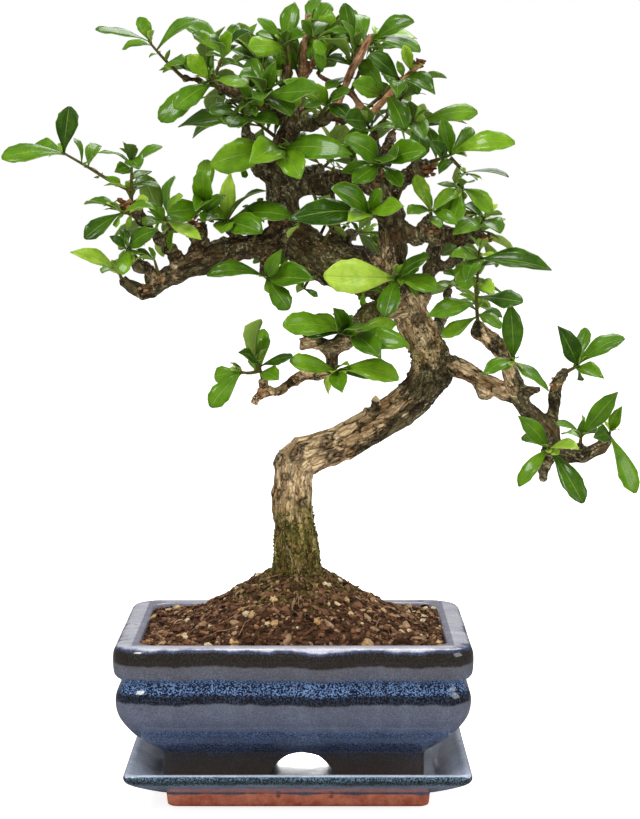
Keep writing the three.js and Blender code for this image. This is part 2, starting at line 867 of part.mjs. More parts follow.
// A square of plastic mesh that keeps the soil in over a drainage hole.
function makeDrainMesh(x) {
  const z = FLOOR_HEIGHT + GAP + MESH.thickness / 2;
  let mesh = block(MESH.side, MESH.side, MESH.thickness, x, 0, z);
  const pitch = (MESH.side - MESH.bar) / MESH.cells;
  const first = -MESH.side / 2 + MESH.bar + (pitch - MESH.bar) / 2;
  for (let i = 0; i < MESH.cells; i++) {
    for (let j = 0; j < MESH.cells; j++) {
      const middle = [x + first + i * pitch, first + j * pitch];
      mesh = mesh.subtract(block(pitch - MESH.bar, pitch - MESH.bar, 2, ...middle, z));
    }
  }
  return mesh;
}

// How far in from the lip the pot's inside lies at a height.
function insideInset(z) {
  const below = POT_INSIDE.findIndex(([, height]) => height <= z);
  const [lowInset, low] = POT_INSIDE[below];
  const [highInset, high] = POT_INSIDE[Math.max(0, below - 1)];
  const share = high === low ? 0 : (z - low) / (high - low);
  return lowInset + share * (highInset - lowInset);
}

// The soil's ring at a height along the pot's wall, with more points along its sides than its corners need.
function soilRing(z) {
  const inset = insideInset(z) + GAP + 0.1;
  const ring = roundedRing(POT_HALF[0] - inset, POT_HALF[1] - inset, POT_INSIDE_CORNER, z, 2);
  return ring.flatMap((p, i) => {
    const next = ring[(i + 1) % ring.length];
    const pieces = [1, 1, SOIL_SIDE_PIECES[0], 1, 1, SOIL_SIDE_PIECES[1]][i % 6];
    return Array.from({ length: pieces }, (_, k) => p.clone().lerp(next, k / pieces));
  });
}

// Soil up to just under the rim, mounded round the trunk, with a plain hole for the trunk's foot.
function makeSoil() {
  const draw = drawer(41);
  const floor = FLOOR_HEIGHT + 2 * GAP + MESH.thickness;
  const wall = [floor, 39, 55, 64, SOIL_EDGE].map(soilRing);
  const edge = wall.at(-1);
  const [x, y] = BRANCHES.trunk[0];
  const middle = edge.map((p) => {
    const angle = Math.atan2(p.y - y, p.x - x);
    return new THREE.Vector3(x + FLAT_TOP * Math.cos(angle), y + FLAT_TOP * Math.sin(angle), MOUND_TOP);
  });
  const top = [0.84, 0.62, 0.42, 0.24, 0.1].map((share) =>
    edge.map((p, j) => {
      const point = middle[j].clone().lerp(p, share);
      const away = Math.hypot(point.x - x, point.y - y) - FLAT_TOP;
      const rise = (MOUND_TOP - SOIL_EDGE) * Math.max(0, 1 - away / MOUND_REACH) ** MOUND_POWER;
      point.z = SOIL_EDGE + rise + SOIL_LUMPS * (2 * draw() - 1);
      return point;
    }),
  );
  const hole = BRANCHES.trunk.map(([px, py, pz, radius], i) => [px, py, i ? pz : pz - GAP, radius]);
  return skinned([...wall, ...top, middle]).subtract(branchOf(hole, 0, GAP));
}

// A ring of points round a centre, square to a direction, with the first point along the given side.
function ringRound(centre, radius, side, direction, sides, lump) {
  return Array.from({ length: sides }, (_, k) => {
    const arm = turned(side, direction, (360 * k) / sides).multiplyScalar(radius * lump());
    return centre.clone().add(arm);
  });
}

// A tapering limb through points [x, y, z, radius]. Its rings turn with it and never twist.
function limb(points, sides, lump) {
  const centres = points.map(vector);
  let side = null;
  const rings = centres.map((centre, i) => {
    const before = centres[Math.max(0, i - 1)];
    const after = centres[Math.min(centres.length - 1, i + 1)];
    const direction = after.clone().sub(before).normalize();
    side ??= Math.abs(direction.z) < 0.9 ? new THREE.Vector3(0, 0, 1) : new THREE.Vector3(1, 0, 0);
    side = side.clone().addScaledVector(direction, -side.dot(direction)).normalize();
    return ringRound(centre, points[i][3], side, direction, sides, lump);
  });
  return skinned(rings);
}

// One branch with its own lumps, k being its place in the list. It can be made thicker by an extra width.
function branchOf(points, k, extra) {
  const draw = drawer(7 + 13 * k);
  const thickest = Math.max(...points.map((p) => p[3]));
  const sides = thickest > 9 ? 9 : thickest > 4.5 ? 6 : 5;
  const wider = extra / Math.cos(Math.PI / sides);
  const grown = points.map(([x, y, z, radius]) => [x, y, z, radius + wider]);
  return limb(grown, sides, () => 1 + BARK_LUMPS * (2 * draw() - 1));
}

// The tree's wood: trunk, branches and cut sticks, grown together.
function makeWood(extra = 0) {
  const branches = Object.values(BRANCHES).map((points, k) => branchOf(points, k, extra));
  return branches.reduce((wood, next) => wood.add(next));
}

// A place on a branch, counted in its points, the way the branch runs there and its radius.
function placeOn([name, at]) {
  const points = BRANCHES[name];
  const low = Math.min(Math.floor(at), points.length - 2);
  const [a, b] = [vector(points[low]), vector(points[low + 1])];
  const radius = points[low][3] + (at - low) * (points[low + 1][3] - points[low][3]);
  const middle = a.clone().lerp(b, at - low);
  return { middle, radius, direction: b.sub(a).normalize(), isEnd: at === points.length - 1 };
}

// Where a shoot starts: just off a branch's end, or inside the branch on the side that it grows from.
function shootStart(on, next) {
  const { middle, radius, direction, isEnd } = placeOn(on);
  if (isEnd) return { start: middle.addScaledVector(direction, GAP), bare: 3 };
  const out = next.clone().sub(middle);
  out.addScaledVector(direction, -out.dot(direction)).normalize();
  const start = middle.addScaledVector(out, FOOT_INSIDE * radius);
  return { start, bare: (1 - FOOT_INSIDE) * radius + 3 };
}

// A point at a distance along a path, and the path's length.
function alongPath(path, distance) {
  let left = distance;
  for (let i = 0; i + 1 < path.length; i++) {
    const step = path[i].distanceTo(path[i + 1]);
    if (left <= step || i + 2 === path.length) {
      return path[i].clone().lerp(path[i + 1], Math.min(1, left / step));
    }
    left -= step;
  }
  return path[0].clone();
}

function pathLength(path) {
  return path.slice(1).reduce((sum, p, i) => sum + p.distanceTo(path[i]), 0);
}

// How far along a path the point nearest to a tip lies.
function nearestAlong(path, tip) {
  const total = pathLength(path);
  let best = 0;
  for (let distance = 0; distance <= total; distance += 0.5) {
    if (alongPath(path, distance).distanceTo(tip) < alongPath(path, best).distanceTo(tip)) best = distance;
  }
  return best;
}

// A leaf's foot on its shoot: beside its tip, but off the shoot's bare foot, and never two in one place.
function leafFoot(path, bare, tip, i) {
  const total = pathLength(path);
  const highest = total - 1.1 - 1.2 * (i % 4);
  const place = Math.max(Math.min(bare, 0.6 * total), Math.min(highest, nearestAlong(path, tip)));
  return offAxis(alongPath(path, place), tip);
}

// A foot lies a little out of its shoot's middle, on the side that its leaf leaves from.
function offAxis(place, tip) {
  return place.clone().addScaledVector(tip.clone().sub(place).normalize(), FOOT_OFF_AXIS);
}

// Leaves of a traced spray. facing is 0 for a blade that faces up and 90 for one that faces the front.
function tracedLeaves(path, bare, leaves) {
  return leaves.map(([x, y, z, facing], i) => {
    const tip = new THREE.Vector3(x, y, z);
    const angle = THREE.MathUtils.degToRad(facing);
    const up = new THREE.Vector3(0, -Math.sin(angle), Math.cos(angle));
    return { foot: leafFoot(path, bare, tip, i), tip, up };
  });
}

// Leaves of a spray at the back, round its shoot.
function roundLeaves(path, draw) {
  const axis = path.at(-1).clone().sub(path[0]).normalize();
  const side = new THREE.Vector3(0, 0, 1).cross(axis).normalize();
  const up = new THREE.Vector3(0, 0, 1).addScaledVector(axis, 0.8).normalize();
  return Array.from({ length: BACK.leaves }, (_, i) => {
    const tilt = THREE.MathUtils.lerp(...BACK_TILT, draw());
    const length = THREE.MathUtils.lerp(...BACK_LENGTH, draw());
    const away = turned(turned(axis, side, tilt), axis, BACK.golden * i + 20 * draw());
    const place = alongPath(path, pathLength(path) - 1 - BACK.spacing * i);
    const tip = place.clone().addScaledVector(away, length);
    return { foot: offAxis(place, tip), tip, up };
  });
}

// A traced spray: its shoots, of which the first starts at the wood, and the leaves on each.
function tracedSpray(name, { on, shoots }) {
  const { start, bare } = shootStart(on, vector(shoots[0].path[0]));
  const made = shoots.map(({ path, leaves }, i) => {
    const points = path.map(vector);
    if (i === 0) points.unshift(start);
    return { path: points, leaves: tracedLeaves(points, i === 0 ? bare : 2.5, leaves) };
  });
  return { name, shoots: made };
}

// The spray at the end of a branch of the back, which turns outwards from the crown's middle.
function backSpray(name, k) {
  const points = BRANCHES[name];
  const { middle: end, direction } = placeOn([name, points.length - 1]);
  const start = end.clone().addScaledVector(direction, GAP);
  const outward = end.clone().sub(vector(BACK.crown)).normalize().add(direction).normalize();
  const bend = start.clone().addScaledVector(direction, 2);
  const path = [start, bend, start.clone().addScaledVector(outward, BACK.shoot)];
  return { name, shoots: [{ path, leaves: roundLeaves(path, drawer(1009 + 31 * k)) }] };
}

function planSprays() {
  const back = Object.keys(BRANCHES).filter((name) => name.startsWith("back_"));
  return [
    ...Object.entries(SPRAYS).map(([name, spray]) => tracedSpray(name, spray)),
    ...back.map(backSpray),
  ];
}

// One blade from its foot to its tip, as rings of three: its two edges, and the keel under its midrib.
function blade(foot, tip, up, { half, arch }, extra) {
  const along = tip.clone().sub(foot);
  const length = along.length();
  const direction = along.clone().normalize();
  const normal = up.clone().addScaledVector(direction, -up.dot(direction)).normalize();
  const side = direction.clone().cross(normal);
  const at = (share) => {
    const rise = arch * length * 4 * share * (1 - share);
    return foot.clone().addScaledVector(along, share).addScaledVector(normal, rise);
  };
  const rings = (length < SMALL_LEAF ? SMALL_BLADE : BLADE).map(({ along: share, width, thick }) => {
    const reach = half * width + extra;
    const top = at(share).addScaledVector(normal, thick / 2 + extra);
    const keel = at(share).addScaledVector(normal, -thick / 2 - extra);
    return [top.clone().addScaledVector(side, reach), top.addScaledVector(side, -reach), keel];
  });
  const end = tip.clone().addScaledVector(direction, extra);
  return skinnedToPoint(rings, end);
}

// A solid skinned over rings that ends in a point.
function skinnedToPoint(rings, end) {
  const count = rings[0].length;
  const positions = [...rings.flat(), end].flatMap((p) => [p.x, p.y, p.z]);
  const index = [];
  for (let i = 0; i + 1 < rings.length; i++) {
    for (let j = 0; j < count; j++) {
      const a = i * count + j;
      const b = i * count + ((j + 1) % count);
      index.push(a, b + count, b, a, a + count, b + count);
    }
  }
  const last = (rings.length - 1) * count;
  const point = rings.length * count;
  for (let j = 0; j < count; j++) index.push(last + j, point, last + ((j + 1) % count));
  index.push(0, 1, 2);
  return solidOf(positions, index);
}

// What a new leaf has to stay clear of: other sprays, the wood, the soil and the pot.
class Surroundings {
  constructor() {
    this.solids = [];
  }

  add(owner, solid) {
    this.solids.push({ owner, solid, box: solid.boundingBox() });
  }

  // Whether a solid is clear of what other owners hold, or of what this owner holds.
  isClear(solid, counts) {
    const box = solid.boundingBox();
    return this.solids.every((other) => {
      if (!counts(other.owner)) return true;
      const { min, max } = other.box;
      const apart = [0, 1, 2].some((k) => min[k] > box.max[k] || max[k] < box.min[k]);
      return apart || solid.intersect(other.solid).isEmpty();
    });
  }
}

function twigOf(path) {
  const total = pathLength(path);
  let travelled = 0;
  const points = path.map((p, i) => {
    if (i) travelled += p.distanceTo(path[i - 1]);
    return [p.x, p.y, p.z, TWIG.foot + (TWIG.head - TWIG.foot) * (travelled / total)];
  });
  return limb(points, TWIG.sides, () => 1);
}

// A leaf, turned aside where it would cross another piece, or null where no turn clears it.
function clearBlade(leaf, form, owner, surroundings) {
  const along = leaf.tip.clone().sub(leaf.foot);
  const direction = along.clone().normalize();
  const normal = leaf.up.clone().addScaledVector(direction, -leaf.up.dot(direction)).normalize();
  const side = direction.clone().cross(normal);
  let second = null;
  for (const [sideways, upwards] of BENDS) {
    const tip = leaf.foot.clone().add(turned(turned(along, side, upwards), normal, sideways));
    const guard = blade(leaf.foot, tip, normal, form, LEAF_CLEARANCE);
    if (!surroundings.isClear(guard, (other) => other !== owner)) continue;
    const outer = blade(leaf.foot.clone().lerp(tip, OUTER_PART), tip, normal, form, 0);
    if (surroundings.isClear(outer, (other) => other === owner)) {
      return blade(leaf.foot, tip, normal, form, 0);
    }
    second ??= tip;
  }
  return second && blade(leaf.foot, second, normal, form, 0);
}

// All sprays, each joined into one solid. All twigs go in first, so that no leaf takes a twig's place.
function makeSprays(neighbours) {
  const grownWood = makeWood(GAP);
  const surroundings = new Surroundings();
  neighbours.forEach((solid) => surroundings.add("neighbour", solid));
  const sprays = planSprays();
  for (const spray of sprays) {
    const twigs = spray.shoots.map(({ path }) => twigOf(path));
    spray.solid = twigs.reduce((all, twig) => all.add(twig)).subtract(grownWood);
    surroundings.add(spray.name, spray.solid);
  }
  for (const [k, spray] of sprays.entries()) {
    const draw = drawer(101 + 17 * k);
    for (const leaf of spray.shoots.flatMap(({ leaves }) => leaves)) {
      const length = leaf.tip.distanceTo(leaf.foot);
      const form = { half: (1 + 0.19 * length) * (0.9 + 0.2 * draw()), arch: 0.03 + 0.09 * draw() };
      const made = clearBlade(leaf, form, spray.name, surroundings);
      if (!made) continue;
      surroundings.add(spray.name, made);
      spray.solid = spray.solid.add(made);
    }
  }
  return sprays;
}

function makeBonsai() {
  const bonsai = new THREE.Group();
  const saucer = makeSaucer();
  const pot = makePot();
  const soil = makeSoil();
  const wood = makeWood();
  bonsai.add(pieceOf("saucer", saucer, COLOURS.saucer));
  bonsai.add(pieceOf("pot", pot, COLOURS.glaze));
  bonsai.add(pieceOf("drain_mesh_left", makeDrainMesh(-DRAIN.x), COLOURS.mesh));
  bonsai.add(pieceOf("drain_mesh_right", makeDrainMesh(DRAIN.x), COLOURS.mesh));
  bonsai.add(pieceOf("soil", soil, COLOURS.soil));
  bonsai.add(pieceOf("wood", wood, COLOURS.bark));
  for (const { name, solid } of makeSprays([soil, pot, wood])) {
    bonsai.add(pieceOf("spray_" + name, solid, COLOURS.leaf));
  }
  return bonsai;
}

export default makeBonsai();
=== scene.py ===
"""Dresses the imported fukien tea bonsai: its glazed pot and saucer, soil, bark and leaves.

Lengths in the tables are millimetres, and meshes are in metres. X runs to the right, Y away from
the front and Z up, from the middle of the saucer's underside.
"""

import logging
import math
import random
from contextlib import contextmanager
from dataclasses import dataclass
from enum import Enum
from functools import cache
from typing import Callable, Iterable, Iterator, Optional, Sequence, Union

import bmesh
import bpy
import numpy as np
from mathutils import Matrix, Vector, noise
from mathutils.bvhtree import BVHTree


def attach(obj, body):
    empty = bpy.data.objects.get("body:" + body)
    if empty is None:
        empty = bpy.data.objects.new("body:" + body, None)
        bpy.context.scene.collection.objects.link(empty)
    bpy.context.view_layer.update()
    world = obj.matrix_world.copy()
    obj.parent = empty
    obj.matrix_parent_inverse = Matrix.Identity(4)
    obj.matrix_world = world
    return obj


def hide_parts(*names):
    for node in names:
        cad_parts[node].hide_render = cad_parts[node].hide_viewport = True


MM = 0.001
UP = Vector((0, 0, 1))
ROOT = "root"

Colour = tuple[float, float, float]
Point = tuple[float, float, float]
Socket = bpy.types.NodeSocket
Piece = bpy.types.Object

log = logging.getLogger("bonsai")

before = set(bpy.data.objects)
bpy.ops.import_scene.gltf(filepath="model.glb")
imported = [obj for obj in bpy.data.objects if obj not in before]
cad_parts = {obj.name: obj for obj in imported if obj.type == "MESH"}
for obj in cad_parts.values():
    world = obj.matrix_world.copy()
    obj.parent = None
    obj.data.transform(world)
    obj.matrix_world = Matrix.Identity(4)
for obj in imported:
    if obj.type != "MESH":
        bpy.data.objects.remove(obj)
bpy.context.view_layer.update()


# Where things are on the tree, in millimetres.

# The shoots of each spray: the points that each runs through.
SHOOTS: dict[str, tuple] = {
    "left_crown": (
        ((-73, -21, 272), (-73, -23, 280), (-72, -27, 292)),
        ((-73, -23, 278), (-82, -22, 282), (-91, -24, 288), (-103, -28, 295)),
    ),
    "left_knob_low": (((-72, -22, 268), (-77, -30, 268)),),
    "left_stick": (((-74, -20, 252), (-75, -26, 252)),),
    "left_end": (((-78, -17, 238), (-79, -19, 241)),),
    "left_tuft": (((-55, -14, 260), (-58, -22, 265)),),
    "left_upper": (((-41, -12, 263), (-40, -16, 272)),),
    "left_inner": (((-30, -6, 261), (-31, -10, 264)),),
    "hanging_left": (((-13, -8, 239), (-12, -12, 238)),),
    "upper_left_tip": (((-50, -11, 329), (-58, -16, 336), (-65, -20, 345)),),
    "upper_left": (
        ((-34, -10, 324), (-38, -18, 328)),
        ((-37, -14, 327), (-32, -12, 337), (-31, -10, 342)),
    ),
    "mid_left": (((-22, -10, 308), (-23, -16, 312)),),
    "top_left": (((-3, -4, 335), (-4, -8, 345)),),
    "crown_left": (((-12, -13, 316), (-13, -20, 321)),),
    "crown_centre": (((11, -8, 310), (16, -20, 317)),),
    "top_centre": (((6, -13, 347), (11, -18, 346)),),
    "top_right": (((26, -15, 332), (27, -8, 342)), ((27, -8, 341), (33, -10, 345), (36, -12, 345)),),
    "right_stick": (((33, -10, 315), (40, -13, 321), (50, -16, 329), (53, -17, 332)),),
    "mid_upper": (((36, -12, 304), (33, -18, 308)),),
    "mid_big": (((39, -9, 286), (39, -22, 290)),),
    "centre_big": (((-6, 0, 294), (-5, -16, 297)),),
    "right_upper": (((55, -12, 303), (54, -16, 311)),),
    "right_shoot": (
        ((62, -12, 291), (69, -14, 293), (73, -15, 295)),
        ((71, -14, 293), (75, -14, 289), (79, -14, 285)),
    ),
    "right_mid": (((75, -14, 281), (76, -18, 278)),),
    "right_knob": (((62, -19, 265), (62, -25, 269)),),
    "right_far": (((83, -11, 259), (87, -14, 266)),),
    "right_riser": (((84, -15, 218), (83, -18, 226), (83, -20, 236), (84, -22, 252)),),
    "centre_right": (((46, -1, 234), (47, -22, 239)),),
    "centre_mid": (((42, -12, 264), (33, -25, 268)),),
    "low_mid": (((24, -15, 211), (22, -20, 215)), ((24, -17, 213), (29, -22, 213)),),
    "low_left": (
        ((-14, -22, 193), (-16, -26, 201)), ((-15, -24, 197), (-21, -26, 195), (-24, -28, 197)),
    ),
    "low_centre": (((17, -15, 197), (20, -20, 196)),),
    "right_low_top": (((125, -16, 196), (130, -19, 199)),),
    "riser_side": (((99, -11, 200), (100, -18, 201)),),
    "right_low_hanging": (((118, -18, 162), (116, -24, 161)),),
    "right_low_upright": (((131, -18, 163), (131, -22, 168)),),
    "right_low_end": (((144, -18, 165), (144, -22, 169)),),
    "back_left_low": (((-54, 23, 262), (-55, 25, 263), (-65, 32, 264)),),
    "back_left_high": (((-34, 23, 326), (-35, 25, 327), (-42, 31, 335)),),
    "back_top": (((-14, 31, 326), (-15, 33, 327), (-18, 40, 336)),),
    "back_middle": (((13, 34, 289), (14, 36, 289), (19, 46, 295)),),
    "back_centre": (((28, 36, 258), (29, 38, 258), (35, 49, 259)),),
    "back_high_right": (((46, 24, 305), (46, 26, 306), (53, 33, 314)),),
    "back_right": (((78, 22, 257), (79, 24, 257), (88, 32, 256)),),
    "back_low_right": (((74, 42, 231), (74, 44, 233), (83, 52, 235)),),
}

TUFTS: tuple[tuple[Point, float], ...] = (
    ((-46, -19, 263), 7.0), ((-75, -23, 271), 5.6), ((57, -19, 335), 2.6), ((39, -10, 282), 5.8),
    ((61, -13, 288), 4.6), ((63, -18, 261), 6.2), ((87, -11, 256), 4.2), ((50, 1, 236), 5.2),
    ((-68, -16, 233), 4.0), ((22, -9, 311), 4.2), ((94, -11, 207), 4.4), ((120, -15, 190), 3.4),
    ((-13, -21, 188), 3.2),
)

# Cut sticks with reddish, flaking bark: from one end to the other, and how far round them it shows.
RED_STICKS: tuple[tuple[Point, Point, float], ...] = (
    ((3, 1, 321), (-3, -4, 351), 5), ((4, -10, 336), (7, -14, 358), 5), ((3, -2, 327), (11, -14, 338), 5),
    ((20, -14, 317), (35, -18, 348), 5), ((11, -6, 331), (31, -10, 315), 5),
)
# A cut stick beside the branches' own: its path.
SPARE_STICK: tuple[Point, ...] = ((29, -11, 305), (42, -17, 321), (57, -19, 334.5))
# Short leafy shoots behind the crown's sticks: the path of each.
CROWN_SHOOTS: tuple[tuple[Point, ...], ...] = (
    ((4, 2, 326), (0, 8, 338), (-6, 10, 350)), ((2, 4, 318), (-12, 8, 332), (-22, 8, 344)),
    ((11, -6, 331), (16, 4, 340), (20, 8, 350)), ((26, -12, 322), (30, 0, 334), (38, 4, 344)),
    ((36, -12, 304), (46, -4, 316), (54, -4, 326)), ((-5, 4, 300), (-18, 8, 310), (-30, 6, 320)),
    ((4, 0, 334), (8, 6, 344), (8, 8, 352)), ((1, 4, 312), (-16, 2, 318), (-34, 0, 330)),
)
MOSSY_PLACES: tuple[tuple[Point, float], ...] = (
    ((-6, -4, 100), 16), ((34, -5, 225), 9), ((4, 0, 112), 16), ((60, 8, 206), 7), ((12, -8, 246), 5),
)
# Burls on the trunk: where each stands, how wide it is and how far it stands out.
BURLS: tuple[tuple[Point, float, float], ...] = (
    ((-12, -2, 138), 3.4, 3.6), ((-9, -3, 157), 8, 3.0), ((2, -7, 162), 5, 1.6), ((15, -6, 166), 5, 1.8),
    ((9, -5, 148), 5, 1.4), ((-9, 0, 130), 4, 1.2), ((30, 1, 176), 5, 1.6), ((66, 4, 196), 7, 2.0),
    ((58, 4, 214), 6, 1.8), ((10, -12, 250), 6, 2.2), ((-4, -8, 262), 6, 2.0), ((26, -8, 246), 6, 2.2),
    ((-32, -9, 251), 5, 1.8), ((-52, -14, 242), 4, 1.6), ((-11, 0, 286), 4, 1.6),
    ((44, -11, 268), 5, 1.6), ((13, -8, 158), 5, 1.8), ((13, 0, 96), 6, 2.0), ((-12, 0, 98), 6, 1.6),
    ((48, 6, 226), 6, 2.0),
)
# Knots on the front of the trunk, as X, Z and radius.
KNOTS: tuple[Point, ...] = (
    (-7.5, 154, 2.4), (1, 156, 2.8), (15, 161, 2.4), (18.5, 155, 3.2), (-4, 146, 1.8), (36, 178, 2.6),
    (51, 190, 2.4), (57, 219, 2.6), (4, 134, 2.0), (-4, 124, 1.6), (64, 207, 2.0),
)
# Where bark is pale beyond the lower trunk: the place, how far it reaches and how pale it is, bleached
# above 1.
PALE_PLACES: tuple[tuple[Point, float, float], ...] = (
    ((6, 2, 154), 19, 1.22), ((56, 0, 217), 12, 1.2), ((60, 4, 204), 8, 0.9), ((80, 0, 196), 8, 0.95),
    ((94, -5, 190), 9, 1.0), ((99, -9, 201), 7, 0.9), ((-2, -14, 203), 14, 0.75),
    ((24, -13, 212), 9, 0.5), ((-58, -12, 240), 9, 0.4), ((-30, -6, 251), 8, 0.3),
    ((88, -12, 212), 7, 0.7), ((40, -6, 246), 8, 0.6), ((30, -4, 238), 6, 0.4),
)
# The limbs whose bark runs along them: the points that each runs through.
LIMBS: tuple[tuple[Point, ...], ...] = (
    ((1, 0, 60), (1, 0, 110), (-1, 2, 132), (0, 4, 150), (4, 5, 154), (22, 8, 160), (48, 12, 175),
     (58, 13, 183), (64, 13, 192), (64, 12, 201), (53, 7, 224), (48, 4, 232), (30, 0, 242), (18, -2, 245),
     (8, -3, 250), (1, -3, 256), (-4, -2, 264), (-8, 2, 287), (-5, 4, 300), (1, 4, 312), (4, 0, 334)),
    ((-3, -3, 259), (-14, -4, 253), (-26, -5, 252), (-37, -7, 248), (-59, -13, 238), (-69, -15, 231),
     (-78, -17, 238)),
    ((48, 4, 232), (45, -3, 244), (45, -7, 254), (44, -9, 264), (39, -9, 286), (36, -12, 304)),
    ((67, 13, 193), (74, 10, 196), (89, 2, 189), (103, -5, 184), (107, -8, 178), (119, -14, 168),
     (119, -16, 162), (132, -17, 157), (144, -18, 165)),
    ((48, 5, 225), (34, -5, 221), (24, -13, 210), (10, -14, 209), (3, -14, 208)),
    ((103, -5, 185), (102, -6, 190), (94, -11, 207), (84, -15, 218)),
    ((3, 1, 321), (-3, -2, 329), (-3, -4, 351)), ((4, -10, 336), (7, -14, 358)),
    ((20, -14, 317), (26, -16, 332), (35, -18, 348)), ((11, -6, 331), (26, -12, 322), (31, -10, 315)),
)


# Calls that every sub-assembly uses.


def activate(*pieces: Piece) -> None:
    """Selects these pieces alone and makes the first of them the active one.

    Args:
        *pieces: The pieces to work on.
    """
    bpy.ops.object.select_all(action="DESELECT")
    for piece in pieces:
        piece.select_set(True)
    bpy.context.view_layer.objects.active = pieces[0]


def linked(name: str, data: bpy.types.ID) -> Piece:
    """Makes a piece of new data, puts it in the scene and makes it the active one.

    Args:
        name: The new piece's name.
        data: Its mesh or curve.

    Returns:
        The new piece.
    """
    piece = bpy.data.objects.new(name, data)
    bpy.context.scene.collection.objects.link(piece)
    activate(piece)
    return piece


def added(name: str, add: Callable, **settings: object) -> Piece:
    """Adds a primitive, a light or the camera, with nothing else selected, and names it.

    Args:
        name: The new piece's name.
        add: Blender's operator for it.
        **settings: The operator's own values.

    Returns:
        The piece.
    """
    bpy.ops.object.select_all(action="DESELECT")
    add(**settings)
    piece = bpy.context.active_object
    piece.name = piece.data.name = name
    return piece


@contextmanager
def editing(piece: Piece) -> Iterator[bmesh.types.BMesh]:
    """Opens the active piece in edit mode, with everything selected, and closes it again.

    Args:
        piece: The active piece.

    Yields:
        Its mesh.
    """
    bpy.ops.object.mode_set(mode="EDIT")
    bpy.ops.mesh.select_all(action="SELECT")
    yield bmesh.from_edit_mesh(piece.data)
    bpy.ops.object.mode_set(mode="OBJECT")


def modify(piece: Piece, kind: str, **settings: object) -> None:
    """Adds a modifier to a piece and applies it at once.

    Args:
        piece: The piece to change.
        kind: Blender's name for the modifier's type.
        **settings: The modifier's own values.
    """
    activate(piece)
    modifier = piece.modifiers.new(kind.title(), kind)
    for name, value in settings.items():
        setattr(modifier, name, value)
    bpy.ops.object.modifier_apply(modifier=modifier.name)


def merged_copy(node: str, name: str) -> Piece:
    """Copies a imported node's mesh into a new piece, with its loose triangles joined.

    Args:
        node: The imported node's name.
        name: The new piece's name.

    Returns:
        The new piece.
    """
    piece = linked(name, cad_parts[node].data.copy())
    piece.data.name = name
    piece.data.materials.clear()
    with editing(piece):
        bpy.ops.mesh.remove_doubles(threshold=2e-6)
    return piece


def dress(piece: Piece, slot: str, *materials: bpy.types.Material, blunt: float = 180) -> Piece:
    """Shades a piece, gives it its materials, and fixes it to the object.

    Args:
        piece: The piece, in its place.
        slot: The record's material slot; not used.
        *materials: Its materials, in the order of its faces' indices.
        blunt: The sharpest edge that still looks smooth, in degrees.

    Returns:
        The same piece.
    """
    activate(piece)
    if blunt < 180:
        bpy.ops.object.shade_smooth_by_angle(angle=math.radians(blunt))
    else:
        bpy.ops.object.shade_smooth()
    for material in materials:
        piece.data.materials.append(material)
    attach(piece, ROOT)
    return piece


def per_vertex(mesh: bpy.types.Mesh, what: str) -> np.ndarray:
    """Reads a mesh's vertices.

    Args:
        mesh: The mesh.
        what: "co" for their places, in metres, or "normal" for the way they face.

    Returns:
        One row of x, y and z for each vertex.
    """
    flat = np.zeros(len(mesh.vertices) * 3, np.float32)
    mesh.vertices.foreach_get(what, flat)
    return flat.reshape(-1, 3)


def coordinates(mesh: bpy.types.Mesh) -> np.ndarray:
    """Reads where a mesh's vertices are, one row of x, y and z for each, in metres."""
    return per_vertex(mesh, "co").astype(float)


def place_vertices(mesh: bpy.types.Mesh, places: np.ndarray) -> None:
    """Writes a mesh's vertices, one row of x, y and z for each, in metres."""
    mesh.vertices.foreach_set("co", places.astype(np.float32).ravel())
    mesh.update()


def mark(mesh: bpy.types.Mesh, name: str, values: np.ndarray) -> None:
    """Keeps a number, a vector or a colour for each vertex as an attribute.

    Args:
        mesh: The mesh.
        name: The attribute's name.
        values: One number or row for each vertex.
    """
    width = values.shape[1] if values.ndim > 1 else 1
    kinds = {1: ("FLOAT", "value"), 3: ("FLOAT_VECTOR", "vector"), 4: ("FLOAT_COLOR", "color")}
    kind, part = kinds[width]
    mesh.attributes.new(name, kind, "POINT").data.foreach_set(part, values.astype(np.float32).ravel())


def vectors(points: Sequence[Point]) -> list[Vector]:
    """Turns points in millimetres into vectors in metres."""
    return [Vector(point) * MM for point in points]


def shaken(draw: random.Random, spread: float = 1.0) -> Vector:
    """Draws a vector whose three parts spread evenly round nothing."""
    return Vector([draw.gauss(0, spread) for _ in range(3)])


def facing(way: Vector) -> Matrix:
    """Turns Z to face a way."""
    return way.to_track_quat("Z", "Y").to_matrix().to_4x4()


def stretched(size: float, draw: random.Random, wide: Sequence[float], high: Sequence[float]) -> Matrix:
    """Scales by a size, and Y and Z by drawn shares of it as well."""
    return Matrix.Diagonal((size, size * draw.uniform(*wide), size * draw.uniform(*high), 1))


